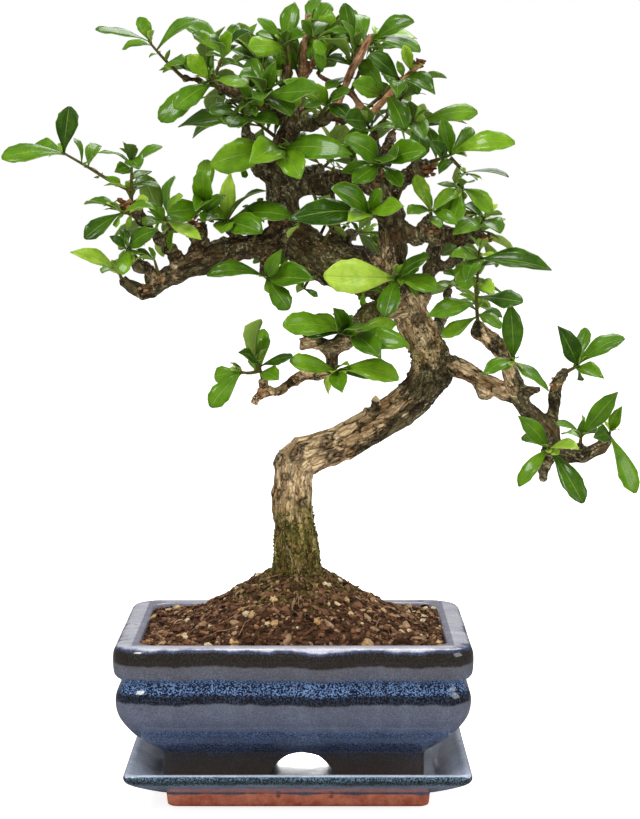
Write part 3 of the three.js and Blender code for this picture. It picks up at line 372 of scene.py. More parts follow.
def loft(name: str, rings: Sequence[Sequence[Vector]]) -> Piece:
    """Draws a closed skin over rings of equally many points, extruding from one ring to the next.

    Args:
        name: The new piece's name.
        rings: The rings in order, each with its points in order, in metres.

    Returns:
        The new piece, with both ends filled.
    """
    piece = added(name, bpy.ops.mesh.primitive_circle_add, vertices=len(rings[0]), radius=0.05)
    with editing(piece) as mesh:
        turn = mesh.verts.layers.int.new("turn")
        for k, vertex in enumerate(mesh.verts):
            vertex[turn] = k
        for number, points in enumerate(rings):
            if number:
                bpy.ops.mesh.extrude_edges_move()
            mesh = bmesh.from_edit_mesh(piece.data)
            turn = mesh.verts.layers.int["turn"]
            for vertex in mesh.verts:
                if vertex.select:
                    vertex.co = points[vertex[turn]]
            bmesh.update_edit_mesh(piece.data)
        bpy.ops.mesh.edge_face_add()
        bpy.ops.mesh.select_all(action="DESELECT")
        bpy.ops.mesh.select_mode(type="EDGE")
        bpy.ops.mesh.select_non_manifold()
        bpy.ops.mesh.edge_face_add()
        bpy.ops.mesh.select_all(action="SELECT")
        bpy.ops.mesh.normals_make_consistent(inside=False)
        bpy.ops.mesh.select_mode(type="VERT")
    piece.data.attributes.remove(piece.data.attributes["turn"])
    return piece


def scattered(template: Piece, copies: Sequence[tuple[Matrix, float]]) -> Piece:
    """Copies one small shape to many places and joins the copies into a piece of the same name.

    Args:
        template: The shape, modelled once round the origin.
        copies: Where each copy goes, turned and sized, and its tone from 0 to 1.

    Returns:
        The new piece.
    """
    name = template.name
    shape = coordinates(template.data)
    faces = [tuple(p.vertices) for p in template.data.polygons]
    bpy.data.objects.remove(template)
    turns = np.array([np.array(place) for place, _ in copies])
    points = np.einsum("nij,vj->nvi", turns[:, :3, :3], shape) + turns[:, None, :3, 3]
    mesh = bpy.data.meshes.new(name)
    all_faces = [tuple(v + k * len(shape) for v in face) for k in range(len(copies)) for face in faces]
    mesh.from_pydata(points.reshape(-1, 3).tolist(), [], all_faces)
    mark(mesh, "tone", np.repeat([tone for _, tone in copies], len(shape)))
    return linked(name, mesh)


def strands(name: str, paths: Sequence[Sequence[Vector]], radii: Sequence[float],
            sides: int = 3) -> Piece:
    """Draws thin round strands along paths and makes them a mesh.

    Args:
        name: The new piece's name.
        paths: The points of each strand, in metres.
        radii: Each strand's radius at its thick end, in metres.
        sides: How finely the strands are rounded.

    Returns:
        The new piece.
    """
    curve = bpy.data.curves.new(name, "CURVE")
    curve.dimensions = "3D"
    curve.bevel_depth = 1.0
    curve.bevel_resolution = sides - 2
    curve.use_fill_caps = True
    curve.resolution_u = 3
    for path, radius in zip(paths, radii):
        spline = curve.splines.new("NURBS")
        spline.points.add(len(path) - 1)
        for k, (point, place) in enumerate(zip(spline.points, path)):
            point.co = (*place, 1)
            point.radius = radius * (1 - 0.45 * k / (len(path) - 1))
        spline.order_u = min(3, len(path))
        spline.use_endpoint_u = True
    piece = linked(name, curve)
    bpy.ops.object.convert(target="MESH")
    return piece


# Shader nodes.

Inputs = dict[Union[int, str], object]
Number = Union["Value", float]


@dataclass(frozen=True)
class Board:
    """The nodes of a material, a world or a node group."""

    tree: bpy.types.NodeTree

    def put(self, socket: Socket, value: object) -> None:
        """Links a value to a socket, or sets the socket's own value.

        Args:
            socket: The input to fill.
            value: A value, a number, a colour or a vector.
        """
        if isinstance(value, Value):
            self.tree.links.new(value.socket, socket)
        else:
            socket.default_value = (*value, 1.0) if socket.type == "RGBA" and len(value) == 3 else value

    def fill(self, node: bpy.types.Node, inputs: Inputs) -> None:
        """Puts values into a node's inputs, by their number or name, and leaves those without one.

        Args:
            node: The node.
            inputs: What goes into its inputs.
        """
        for key, value in inputs.items():
            if value is not None:
                self.put(node.inputs[key], value)

    def add(self, kind: str, inputs: Optional[Inputs] = None, **settings: object) -> "Value":
        """Adds a node.

        Args:
            kind: The node's type, without the words ShaderNode.
            inputs: What goes into its inputs, by their number or name.
            **settings: The node's own properties.

        Returns:
            The node's first output.
        """
        node = self.tree.nodes.new("ShaderNode" + kind)
        for name, value in settings.items():
            setattr(node, name, value)
        self.fill(node, inputs or {})
        return Value(self, node.outputs[0])

    def mix(self, share: Number, a: object, b: object, blend: str = "MIX") -> "Value":
        """Lays a share of the second colour over the first."""
        return self.add("Mix", {0: share, 6: a, 7: b}, data_type="RGBA", blend_type=blend)[2]

    def mark(self, name: str) -> "Value":
        """Reads the number that an attribute keeps."""
        return self.add("Attribute", attribute_name=name)["Fac"]

    def group(self, tree: bpy.types.NodeTree, **values: object) -> "Value":
        """Places a node group, with what goes into each of its inputs."""
        return self.add("Group", {name.title(): value for name, value in values.items()}, node_tree=tree)


@dataclass(frozen=True)
class Value:
    """An output of a node. Sums and patterns of values add the nodes that they need."""

    board: Board
    socket: Socket

    def __getitem__(self, output: Union[int, str]) -> "Value":
        """Another output of the same node."""
        return Value(self.board, self.socket.node.outputs[output])

    def math(self, operation: str, other: Number = 0.0, clamp: bool = False) -> "Value":
        """Works out one sum with another number, kept from 0 to 1 if it is clamped."""
        return self.board.add("Math", {0: self, 1: other}, operation=operation, use_clamp=clamp)

    def __add__(self, other: Number) -> "Value":
        """Adds a number."""
        return self.math("ADD", other)

    def __sub__(self, other: Number) -> "Value":
        """Takes a number away."""
        return self.math("SUBTRACT", other)

    def __mul__(self, other: Number) -> "Value":
        """Multiplies by a number."""
        return self.math("MULTIPLY", other)

    def span(self, low: Number, high: Number, to_low: float = 0, to_high: float = 1) -> "Value":
        """Maps the numbers from low to high smoothly to those from to_low to to_high."""
        inputs = dict(enumerate((self, low, high, to_low, to_high)))
        return self.board.add("MapRange", inputs, interpolation_type="SMOOTHSTEP")

    def noise(self, scale: Number, detail: float, rough: float,
              along: Optional["Value"] = None) -> "Value":
        """Adds noise over these coordinates, as fine as so many patches to the metre."""
        inputs = {"Vector": self, "Scale": scale, "Detail": detail, "Roughness": rough, "W": along}
        return self.board.add("TexNoise", inputs, noise_dimensions="4D" if along else "3D")

    def cells(self, scale: Number, feature: str = "F1", along: Optional["Value"] = None) -> "Value":
        """Adds a pattern of cells over these coordinates, so many to the metre, and measures them."""
        settings = {"feature": feature, "voronoi_dimensions": "4D" if along else "3D"}
        return self.board.add("TexVoronoi", {"Vector": self, "Scale": scale, "W": along}, **settings)

    def bump(self, depth: float, strength: float, under: Optional["Value"] = None) -> "Value":
        """Raises a surface by this height, which is in metres, over another bump."""
        inputs = {"Height": self, "Distance": depth, "Strength": strength, "Normal": under}
        return self.board.add("Bump", inputs)

    def ramp(self, stops: Iterable[tuple[float, Colour]]) -> "Value":
        """Turns this number into a colour.

        Args:
            stops: Places from 0 to 1, each with its colour.

        Returns:
            The colour.
        """
        made = self.board.add("ValToRGB", {0: self})
        elements = made.socket.node.color_ramp.elements
        for k, (place, colour) in enumerate(stops):
            element = elements[k] if k < 2 else elements.new(place)
            element.position = place
            element.color = (*colour, 1.0)
        return made


def new_group(name: str, inputs: str, outputs: str) -> tuple[Board, list[Value], bpy.types.Node]:
    """Starts a node group, whose inputs and outputs are colours if they are called so.

    Args:
        name: The group's name.
        inputs: The names of its inputs.
        outputs: The names of its outputs.

    Returns:
        Its board, its inputs, and the node that its outputs go into.
    """
    tree = bpy.data.node_groups.new(name, "ShaderNodeTree")
    kinds = {"Vector": "Vector", **dict.fromkeys(("Colour", "Ground", "Dark", "Light"), "Color")}
    for side, names in (("INPUT", inputs), ("OUTPUT", outputs)):
        for item in names.split():
            kind = "NodeSocket" + kinds.get(item, "Float")
            tree.interface.new_socket(item, in_out=side, socket_type=kind)
    entry, leave = (tree.nodes.new("NodeGroup" + side) for side in ("Input", "Output"))
    board = Board(tree)
    return board, [Value(board, entry.outputs[item]) for item in inputs.split()], leave


@cache
def speckle() -> bpy.types.NodeTree:
    """Builds a group for fine dark pits and light curds over a colour.

    Returns:
        The group.
    """
    board, (where, fineness, amount, ground, dark, light), leave = new_group(
        "Speckle", "Vector Fineness Amount Ground Dark Light", "Colour Height")
    curds = where.noise(fineness, 2, 0.6)
    pits = where.noise(fineness * 0.8, 2, 0.7).span(0.5, 0.4).math("MULTIPLY", amount, True)
    shown = curds.span(0.49, 0.56).math("MULTIPLY", amount, True)
    board.fill(leave, {"Colour": board.mix(shown, board.mix(pits, ground, dark), light), "Height": curds})
    return board.tree


@cache
def mottle() -> bpy.types.NodeTree:
    """Builds a group for soft patches of two colours.

    Returns:
        The group.
    """
    board, (where, fineness, dark, light), leave = new_group(
        "Mottle", "Vector Fineness Dark Light", "Colour Height")
    patches = where.noise(fineness, 6, 0.68)
    board.fill(leave, {"Colour": board.mix(patches.span(0.32, 0.68), dark, light), "Height": patches})
    return board.tree


@cache
def fissures() -> bpy.types.NodeTree:
    """Builds a group for crisp cracks that run along a limb and part its bark into long flaky plates.

    Returns:
        The group.
    """
    board, (where, along, fineness, width), leave = new_group(
        "Fissures", "Vector Along Fineness Width", "Mask Height Tone")
    sway = where.noise(fineness * 1.3, 4, 0.65, along)
    reach = board.add("Math", {0: 1.5, 1: fineness}, operation="DIVIDE")
    offset = board.add("VectorMath", {0: sway["Color"], "Scale": reach}, operation="SCALE")
    moved = board.add("VectorMath", {0: where, 1: offset}, operation="ADD")
    crack = width * sway.span(0.3, 0.62, 0.15, 1.9)
    height = moved.cells(fineness, "DISTANCE_TO_EDGE", along).span(0, crack)
    mask = board.add("Math", {0: 1.0, 1: height}, operation="SUBTRACT")
    tone = moved.cells(fineness, "F1", along)["Color"]
    board.fill(leave, {"Height": height, "Mask": mask, "Tone": tone})
    return board.tree


def rgb(red: float, green: float, blue: float) -> Colour:
    """Turns a screen colour, from 0 to 255, into the linear one that shaders use."""
    parts = [part / 255 for part in (red, green, blue)]
    return tuple(c / 12.92 if c <= 0.04045 else ((c + 0.055) / 1.055) ** 2.4 for c in parts)


# Finishes.


@dataclass(frozen=True)
class Finish:
    """A material, told by a few values."""

    name: str

    def material(self) -> bpy.types.Material:
        """Builds the material.

        Returns:
            The material.
        """
        material = bpy.data.materials.new(self.name)
        material.use_nodes = True
        board = Board(material.node_tree)
        shader = material.node_tree.nodes["Principled BSDF"]
        board.fill(shader, self.paint(board, board.add("TexCoord")["Object"]))
        return material

    def paint(self, board: Board, where: Value) -> Inputs:
        """Says what goes into the shader's inputs, from the place on the object in metres."""
        raise NotImplementedError


@dataclass(frozen=True)
class Band:
    """One stop of a glaze: its height, its colour, and how strongly it is specked."""

    height: float
    colour: Colour
    specks: float


@dataclass(frozen=True)
class Glaze(Finish):
    """Running blue stoneware glaze, which changes colour with height. Some band colours also hold painted
    reflections and painted light.
    """

    bands: tuple[Band, ...]
    dark: Colour
    light: Colour
    inner: Colour
    fineness: float
    wander: float = 4.0
    bare_below: float = -1.0
    inner_half: tuple[float, float] = (72, 52)
    inner_above: float = 45
    inner_lean: float = 0.0
    shift: float = 0.0

    def paint(self, board: Board, where: Value) -> Inputs:
        """Paints the glaze, and the bare clay below it.

        Args:
            board: The material's nodes.
            where: The place on the object, in metres.

        Returns:
            What goes into the shader's inputs.
        """
        low, high = self.bands[0].height, self.bands[-1].height
        split = board.add("SeparateXYZ", {0: where})
        waves, drips = (
            board.add("VectorMath", {0: where, 1: (1, 1, flat)}, operation="MULTIPLY").noise(fine, 2, 0.5)
            for flat, fine in ((0.25, 45), (0.08, 260)))
        height = split[2] + (waves - 0.5 + (drips - 0.5) * 0.35) * (self.wander * MM)
        share = (height - low * MM).math("DIVIDE", (high - low) * MM)
        stops = [(band, (band.height - low) / (high - low)) for band in self.bands]
        inside = self._inside(split, height)
        ground = board.mix(inside, share.ramp((place, band.colour) for band, place in stops), self.inner)
        amount = share.ramp((place, (band.specks,) * 3) for band, place in stops)
        amount = amount * inside.span(0, 1, 1, 0.2)
        specks = board.group(speckle(), vector=where, fineness=self.fineness,
                             amount=amount, ground=ground, dark=self.dark, light=self.light)
        clouds = where.noise(90, 4, 0.6).span(0.4, 0.65, 0.9, 1.1)
        dust = where.noise(1900, 2, 0.6).span(0.4, 0.62, 0.84, 1.2)
        colour = board.mix(1.0, specks, clouds * dust, "MULTIPLY")
        dips = where.noise(160, 2, 0.5).bump(0.35 * MM, 0.5)
        pores = where.cells(420).span(0, 0.09).bump(0.2 * MM, 0.5, dips)
        inputs = {"Base Color": colour, "Normal": pores, "Roughness": 0.12, "Coat Weight": 0.4,
                  "Coat Roughness": 0.04}
        if self.bare_below > 0:
            bare = height.span((self.bare_below + 0.25) * MM, (self.bare_below - 0.25) * MM)
            # The bare clay's colours are its own terracotta, lightened to make up for the shade at the
            # saucer's foot: painted light.
            clay = board.group(mottle(), vector=where, fineness=140,
                               dark=rgb(186, 92, 66), light=rgb(236, 146, 112))
            clay = board.mix(where.cells(95).span(0.16, 0.06) * 0.7, clay, rgb(96, 46, 32))
            clay = board.mix(split[2].span(2.2 * MM, 0.2 * MM, 0, 0.35), clay, rgb(110, 56, 40))
            inputs |= {"Base Color": board.mix(bare, colour, clay),
                       "Roughness": bare.span(0, 1, 0.1, 0.8), "Coat Weight": bare.span(0, 1, 0.4, 0)}
        return inputs

    def _inside(self, split: Value, height: Value) -> Value:
        """Masks the inner wall.

        Args:
            split: The place's X, Y and Z.
            height: The height that the bands follow.

        Returns:
            The mask.
        """
        out_x = (split[0] - self.shift * MM).math("ABSOLUTE") - self.inner_half[0] * MM
        out_y = split[1].math("ABSOLUTE") - self.inner_half[1] * MM
        rise = (split[2] - self.inner_above * MM) * self.inner_lean
        inside = (out_x.math("MAXIMUM", out_y) - rise).span(0.3 * MM, -0.3 * MM)
        return inside * height.span((self.inner_above - 1) * MM, (self.inner_above + 1) * MM)


@dataclass(frozen=True)
class Bark(Finish):
    """Tan flaking bark below, near-black knobby bark above, red flakes on the cut sticks, and moss."""

    pale: tuple[Colour, Colour] = (rgb(156, 110, 60), rgb(255, 224, 174))
    dark: tuple[Colour, Colour] = (rgb(44, 39, 20), rgb(132, 121, 82))
    red: tuple[Colour, Colour] = (rgb(104, 62, 38), rgb(206, 158, 118))
    moss: tuple[Colour, Colour] = (rgb(56, 54, 12), rgb(124, 116, 50))
    film: Colour = (0.44, 0.46, 0.28)
    crack: Colour = rgb(46, 28, 12)
    lichen: Colour = rgb(204, 192, 156)
    brown: Colour = rgb(122, 88, 50)

    def paint(self, board: Board, where: Value) -> Inputs:
        """Paints the bark. The attribute "zones" says where it is pale, red, mossy and dirty, "grain" is
        the place across a limb, "along" the way along it, and "knot" marks the knots.

        Args:
            board: The material's nodes.
            where: The place on the object, in metres.

        Returns:
            What goes into the shader's inputs.
        """
        marks = board.add("Attribute", attribute_name="zones")
        zones = board.add("SeparateColor", {0: marks})
        dirt = marks["Alpha"]
        grain, along = board.mark("grain")["Vector"], board.mark("along")
        plates = board.group(fissures(), vector=grain, along=along, fineness=240, width=0.07)
        fine = board.group(fissures(), vector=grain, along=along, fineness=520, width=0.1)
        streaks = grain.noise(420, 6, 0.72, along)
        patches = where.noise(130, 6, 0.74)
        tone = streaks * 0.5 + patches * 0.3
        share = (tone + plates["Tone"] * 0.2).span(0.36, 0.64)
        stains = where.noise(60, 3, 0.6).span(0.5, 0.68, 0, 0.6)
        flecks = where.noise(760, 3, 0.7).span(0.52, 0.62)
        flecks = flecks * where.noise(85, 4, 0.65).span(0.4, 0.62, 0.1, 1.0)
        dark = board.mix(stains, board.mix(share, *self.dark), self.brown)
        dark = board.mix(flecks, dark, self.lichen)
        bleached = share + zones[0].math("SUBTRACT", 1.0, True)
        # The pale share of "zones" is lowered on downward faces of the low right-hand limb, which paints
        # shade there in dark bark.
        ragged = (zones[0] + patches.span(0.3, 0.7, -0.4, 0.4)).span(0.36, 0.64)
        colour = board.mix(ragged, dark, board.mix(bleached, *self.pale))
        worn = where.noise(75, 4, 0.65).span(0.4, 0.58, 0.2, 0.95).math("MAXIMUM", dirt * 0.9)
        colour = board.mix(plates * worn, colour, self.crack)
        colour = board.mix(fine * 0.5, colour, self.crack)
        colour = board.mix(zones[1], colour, board.mix(streaks.span(0.38, 0.62), *self.red))
        colour = board.mix(dirt * patches.span(0.34, 0.56, 0.45, 1.0), colour, self.film, "MULTIPLY")
        green = zones[2].math("MULTIPLY", where.noise(300, 6, 0.78).span(0.42, 0.62), True)
        colour = board.mix(green, colour, board.mix(share, *self.moss))
        relief = fine["Height"].bump(0.45 * MM, 0.8, plates["Height"].bump(1.0 * MM, 0.9))
        return {"Base Color": board.mix(board.mark("knot"), colour, self.crack), "Roughness": 0.82,
                "Specular IOR Level": 0.2, "Normal": tone.bump(2.2 * MM, 0.8, relief)}


@dataclass(frozen=True)
class LeafSkin(Finish):
    """A glossy leaf, young and yellow-green or old and dark, with a pale midrib, side veins and a painted
    highlight along its margin.
    """

    tones: tuple[tuple[float, Colour], ...]
    rib: Colour
    roughness: float
    coat: float

    def paint(self, board: Board, where: Value) -> Inputs:
        """Paints one face of a leaf. Its map runs from foot to tip in U and from edge to edge in V.

        Args:
            board: The material's nodes.
            where: The place on the object, in metres.

        Returns:
            What goes into the shader's inputs.
        """
        along = board.add("SeparateXYZ", {0: board.add("UVMap", uv_map="UVMap")})
        off = (along[1] - 0.5).math("ABSOLUTE")
        patches = where.noise(150, 3, 0.6)
        shade = board.mark("tone").math("ADD", patches.span(0.3, 0.7, -0.1, 0.1), True)
        slant = along * 44.0 + off * -62.0
        veins = slant.math("SINE").span(0.78, 1.0) * off.span(0.44, 0.05)
        rib = off.span(0.035, 0.008)
        # The pale midrib, and a pale rim along the margin which is a painted highlight.
        pale = rib.math("ADD", off.span(0.455, 0.5), True) * 0.4
        colour = board.mix(veins * 0.16, shade.ramp(self.tones), self.rib)
        colour = board.mix(where.cells(1150).span(0.2, 0.08) * 0.35, colour, rgb(160, 186, 96))
        colour = board.mix(pale, colour, self.rib)
        colour = board.mix(where.noise(75, 3, 0.6).span(0.7, 0.8, 0, 0.5), colour, rgb(112, 92, 30))
        relief = (veins * -0.6 + rib * -1.0).bump(0.35 * MM, 0.7)
        return {"Base Color": colour, "Normal": patches.bump(1.2 * MM, 0.5, relief),
                "Roughness": self.roughness, "Coat Weight": self.coat, "Coat Roughness": 0.1,
                "Specular IOR Level": 0.18}


@dataclass(frozen=True)
class Crumbly(Finish):
    """A rough mottled finish whose pieces differ in tone."""

    tones: tuple[tuple[float, Colour], ...]
    fineness: float = 500
    roughness: float = 0.9
    depth: float = 0.3

    def paint(self, board: Board, where: Value) -> Inputs:
        """Paints the finish, which reads the attribute "tone".

        Args:
            board: The material's nodes.
            where: The place on the object, in metres.

        Returns:
            What goes into the shader's inputs.
        """
        grain = board.group(mottle(), vector=where, fineness=self.fineness,
                            dark=(0.35, 0.33, 0.3), light=(1.0, 1.0, 1.0))
        colour = board.mix(0.8, board.mark("tone").ramp(self.tones), grain, "MULTIPLY")
        return {"Base Color": colour, "Roughness": self.roughness, "Specular IOR Level": 0.15,
                "Normal": grain["Height"].bump(self.depth * MM, 0.7)}


@dataclass(frozen=True)
class Earth(Finish):
    """Dark damp soil between the crumbs, greener towards the trunk."""

    def paint(self, board: Board, where: Value) -> Inputs:
        """Paints the soil.

        Args:
            board: The material's nodes.
            where: The place on the object, in metres.

        Returns:
            What goes into the shader's inputs.
        """
        brown, green = (
            board.group(mottle(), vector=where, fineness=fineness, dark=dark, light=light)
            for fineness, dark, light in ((520, rgb(22, 11, 4), rgb(100, 70, 48)),
                                          (700, rgb(48, 46, 14), rgb(118, 112, 50))))
        height = board.add("SeparateXYZ", {0: where})[2]
        mossy = height.span(84 * MM, 97 * MM) * where.noise(120, 4, 0.6).span(0.36, 0.6)
        return {"Base Color": board.mix(mossy, brown, green), "Roughness": 0.95,
                "Specular IOR Level": 0.15, "Normal": brown["Height"].bump(1.2 * MM, 0.9)}


@dataclass(frozen=True)
class Netting(Finish):
    """Black moulded plastic, dusty with soil."""

    def paint(self, board: Board, where: Value) -> Inputs:
        """Paints the plastic.

        Args:
            board: The material's nodes.
            where: The place on the object, in metres.

        Returns:
            What goes into the shader's inputs.
        """
        dusty = board.group(mottle(), vector=where, fineness=300,
                            dark=rgb(26, 26, 27), light=rgb(62, 52, 44))
        return {"Base Color": dusty, "Roughness": dusty["Height"].span(0.3, 0.7, 0.45, 0.8),
                "Normal": dusty["Height"].bump(0.1 * MM, 0.4)}


@dataclass(frozen=True)
class StudioWhite(Finish):
    """The studio's floor, which glows to the camera and is mirrored only softly."""

    def paint(self, board: Board, where: Value) -> Inputs:
        """Paints the floor.

        Args:
            board: The material's nodes.
            where: The place on the object, in metres.

        Returns:
            What goes into the shader's inputs.
        """
        paths = board.add("LightPath")
        white = board.mix(where.noise(3, 2, 0.55), (0.84, 0.84, 0.84), (0.88, 0.88, 0.88))
        return {"Base Color": board.mix(paths["Is Glossy Ray"], white, (0.14, 0.14, 0.14)),
                "Emission Color": (1.0, 1.0, 1.0), "Roughness": 0.8, "Specular IOR Level": 0.1,
                "Emission Strength": paths["Is Camera Ray"].span(0, 1, 0.0, 0.75)}


POT_GLAZE = Glaze(
    name="pot_glaze",
    dark=rgb(14, 17, 32),
    light=rgb(114, 144, 186),
    fineness=1300,
    inner=rgb(138, 138, 154),
    # The bands are the glaze's colours by height, partly painted reflections: the grey-mauve bands and the
    # rim's pale top stand partly for reflections of bright surroundings, and the near-black neck and lip
    # bands partly for reflections of dark ones.
    bands=(
        Band(10, rgb(72, 54, 34), 0.03), Band(18, rgb(62, 49, 35), 0.03),
        Band(23.5, rgb(50, 43, 38), 0.05), Band(25.2, rgb(34, 40, 62), 0.25),
        Band(30, rgb(40, 50, 80), 0.35), Band(37, rgb(44, 55, 86), 0.35),
        Band(38.6, rgb(80, 85, 104), 0.15), Band(45, rgb(92, 95, 111), 0.12),
        Band(50.7, rgb(88, 90, 102), 0.12), Band(51.6, rgb(20, 17, 20), 0.1),
        Band(54.6, rgb(15, 15, 24), 0.12), Band(56.0, rgb(10, 24, 56), 0.8),
        Band(58.4, rgb(8, 30, 68), 0.95), Band(61.4, rgb(10, 32, 68), 0.9),
        Band(62.4, rgb(84, 84, 93), 0.2), Band(67.9, rgb(88, 86, 92), 0.06),
        Band(68.8, rgb(36, 29, 18), 0.03), Band(74.0, rgb(38, 31, 20), 0.05),
        Band(75.1, rgb(60, 66, 96), 0.3), Band(75.8, rgb(196, 195, 206), 0.05),
        Band(77.4, rgb(202, 201, 210), 0.04),
    ),
)
SAUCER_GLAZE = Glaze(
    name="saucer_glaze",
    dark=rgb(18, 24, 30),
    light=rgb(122, 152, 168),
    fineness=1700,
    bare_below=5.9,
    wander=2.8,
    # The inner slope's colour is lightened to make up for the shade under the pot: painted light.
    inner=rgb(182, 190, 208),
    inner_half=(66.5, 49.5),
    inner_above=9.6,
    inner_lean=1.2,
    shift=2.1,
    # The flank bands from 6.6 to 14.1 mm are lightened to make up for the shade there, and the lowest is
    # made bluer against the clay's pinkish bounce light: painted light.
    bands=(
        Band(0, rgb(104, 96, 100), 0.0), Band(6.6, rgb(90, 100, 120), 0.15),
        Band(9.0, rgb(110, 118, 138), 0.2), Band(11.6, rgb(118, 122, 138), 0.25),
        Band(14.1, rgb(116, 122, 138), 0.25), Band(14.9, rgb(28, 40, 54), 0.6),
        Band(15.8, rgb(17, 21, 27), 0.25), Band(17.0, rgb(20, 26, 32), 0.3),
        Band(17.8, rgb(30, 44, 58), 0.6), Band(18.8, rgb(38, 56, 74), 0.6),
        Band(19.6, rgb(104, 118, 138), 0.4),
    ),
)
LEAF_TOP = LeafSkin(
    name="leaf_top",
    rib=rgb(160, 192, 84),
    roughness=0.36,
    coat=0.35,
    tones=(
        (0.0, rgb(36, 70, 1)), (0.4, rgb(80, 124, 6)), (0.7, rgb(114, 158, 20)), (1.0, rgb(178, 208, 72)),
    ),
)
LEAF_UNDER = LeafSkin(
    name="leaf_underside",
    rib=rgb(176, 190, 128),
    roughness=0.6,
    coat=0.0,
    tones=(
        (0.0, rgb(78, 104, 30)), (0.4, rgb(104, 134, 46)), (0.7, rgb(128, 156, 60)),
        (1.0, rgb(172, 196, 92)),
    ),
)
TWIG_BARK = Crumbly(
    name="twig_bark",
    tones=((0.0, rgb(100, 90, 44)), (0.5, rgb(134, 124, 66)), (1.0, rgb(136, 98, 60))),
    fineness=700,
)
CHIP_BARK = Crumbly(
    name="bark_chips",
    tones=(
        (0.0, rgb(32, 17, 6)), (0.45, rgb(92, 62, 42)), (0.8, rgb(134, 94, 68)), (1.0, rgb(180, 148, 114)),
    ),
)
MOSSY_DIRT = Crumbly(
    name="mossy_dirt",
    tones=((0.0, rgb(48, 38, 14)), (0.5, rgb(92, 80, 38)), (1.0, rgb(132, 116, 66))),
    fineness=700,
)
GRIT = Crumbly(
    name="grit",
    tones=((0.0, rgb(176, 128, 76)), (0.4, rgb(214, 182, 128)), (1.0, rgb(244, 230, 200))),
    fineness=420,
    roughness=0.75,
)
MOSS = Crumbly(
    name="moss",
    tones=((0.0, rgb(62, 62, 14)), (0.5, rgb(100, 98, 34)), (1.0, rgb(148, 142, 70))),
    fineness=900,
)
RUST = Crumbly(
    name="rust_growth",
    tones=((0.0, rgb(84, 50, 26)), (0.5, rgb(146, 98, 58)), (1.0, rgb(214, 172, 124))),
    fineness=800,
    depth=0.6,
)
CUT_BARK = Crumbly(
    name="cut_bark",
    tones=((0.0, rgb(206, 152, 110)), (1.0, rgb(206, 152, 110))),
    fineness=420,
    depth=0.6,
)
ROOT_HAIR = Crumbly(
    name="root_hair",
    tones=((0.0, rgb(150, 120, 88)), (1.0, rgb(206, 190, 164))),
    fineness=700,
)


# Sub-assemblies.

Station = tuple[float, float]


def rounded_profile(stations: Sequence[Station], times: int = 2) -> list[Station]:
    """Rounds the corners of a profile off, as glaze does.

    Args:
        stations: How far in from the lip, and how high, in millimetres.
        times: How often each corner is cut.

    Returns:
        The finer profile.
    """
    points = [Vector(s) for s in stations]
    for _ in range(times):
        cut = [point for a, b in zip(points, points[1:]) for point in (a.lerp(b, 0.25), a.lerp(b, 0.75))]
        points = [points[0], *cut, points[-1]]
    return [(p.x, p.y) for p in points]


@dataclass
class Tray:
    """A rectangular stoneware vessel: a profile led round a rectangle with rounded corners."""

    name: str
    half: tuple[float, float]
    corner: float
    softer: float
    profile: tuple[Station, ...]
    uneven: float
    sharpest: float = 3.0
    shift: float = 0.0
    seed: int = 1
    corner_pieces: int = 8
    side_pieces: tuple[int, int] = (22, 16)

    def ring(self, inset: float, z: float) -> list[Vector]:
        """Places one level ring of points, with points along the straight sides too.

        Args:
            inset: How far in from the lip, in millimetres.
            z: How high, in millimetres.

        Returns:
            The points, counter-clockwise seen from above, in metres.
        """
        half_x, half_y = self.half[0] - inset, self.half[1] - inset
        corner = min(max(self.sharpest, self.corner - self.softer * inset), half_x, half_y)
        corners: list[list[Vector]] = []
        for quarter, (sx, sy) in enumerate(((1, 1), (-1, 1), (-1, -1), (1, -1))):
            middle = Vector((sx * (half_x - corner) + self.shift, sy * (half_y - corner), z))
            turns = [quarter + i / self.corner_pieces for i in range(self.corner_pieces + 1)]
            ways = [Vector((math.cos(t * math.pi / 2), math.sin(t * math.pi / 2), 0)) for t in turns]
            corners.append([middle + corner * way for way in ways])
        points: list[Vector] = []
        for quarter, here in enumerate(corners):
            pieces, after = self.side_pieces[quarter % 2], corners[(quarter + 1) % 4][0]
            points += [*here, *(here[-1].lerp(after, i / pieces) for i in range(1, pieces))]
        return [p * MM for p in points]

    def skin(self) -> Piece:
        """Draws the vessel's whole skin, not yet cut."""
        return loft(self.name, [self.ring(*station) for station in rounded_profile(self.profile)])

    def wander(self, piece: Piece) -> None:
        """Makes a thrown and fired surface a little uneven.

        Args:
            piece: The vessel.
        """
        noise.seed_set(self.seed)
        places = coordinates(piece.data)
        for place in places:
            wander = noise.noise_vector(Vector(place) * 28) * (self.uneven * MM)
            place += np.array((wander.x, wander.y, 0.5 * wander.z))
        place_vertices(piece.data, places)


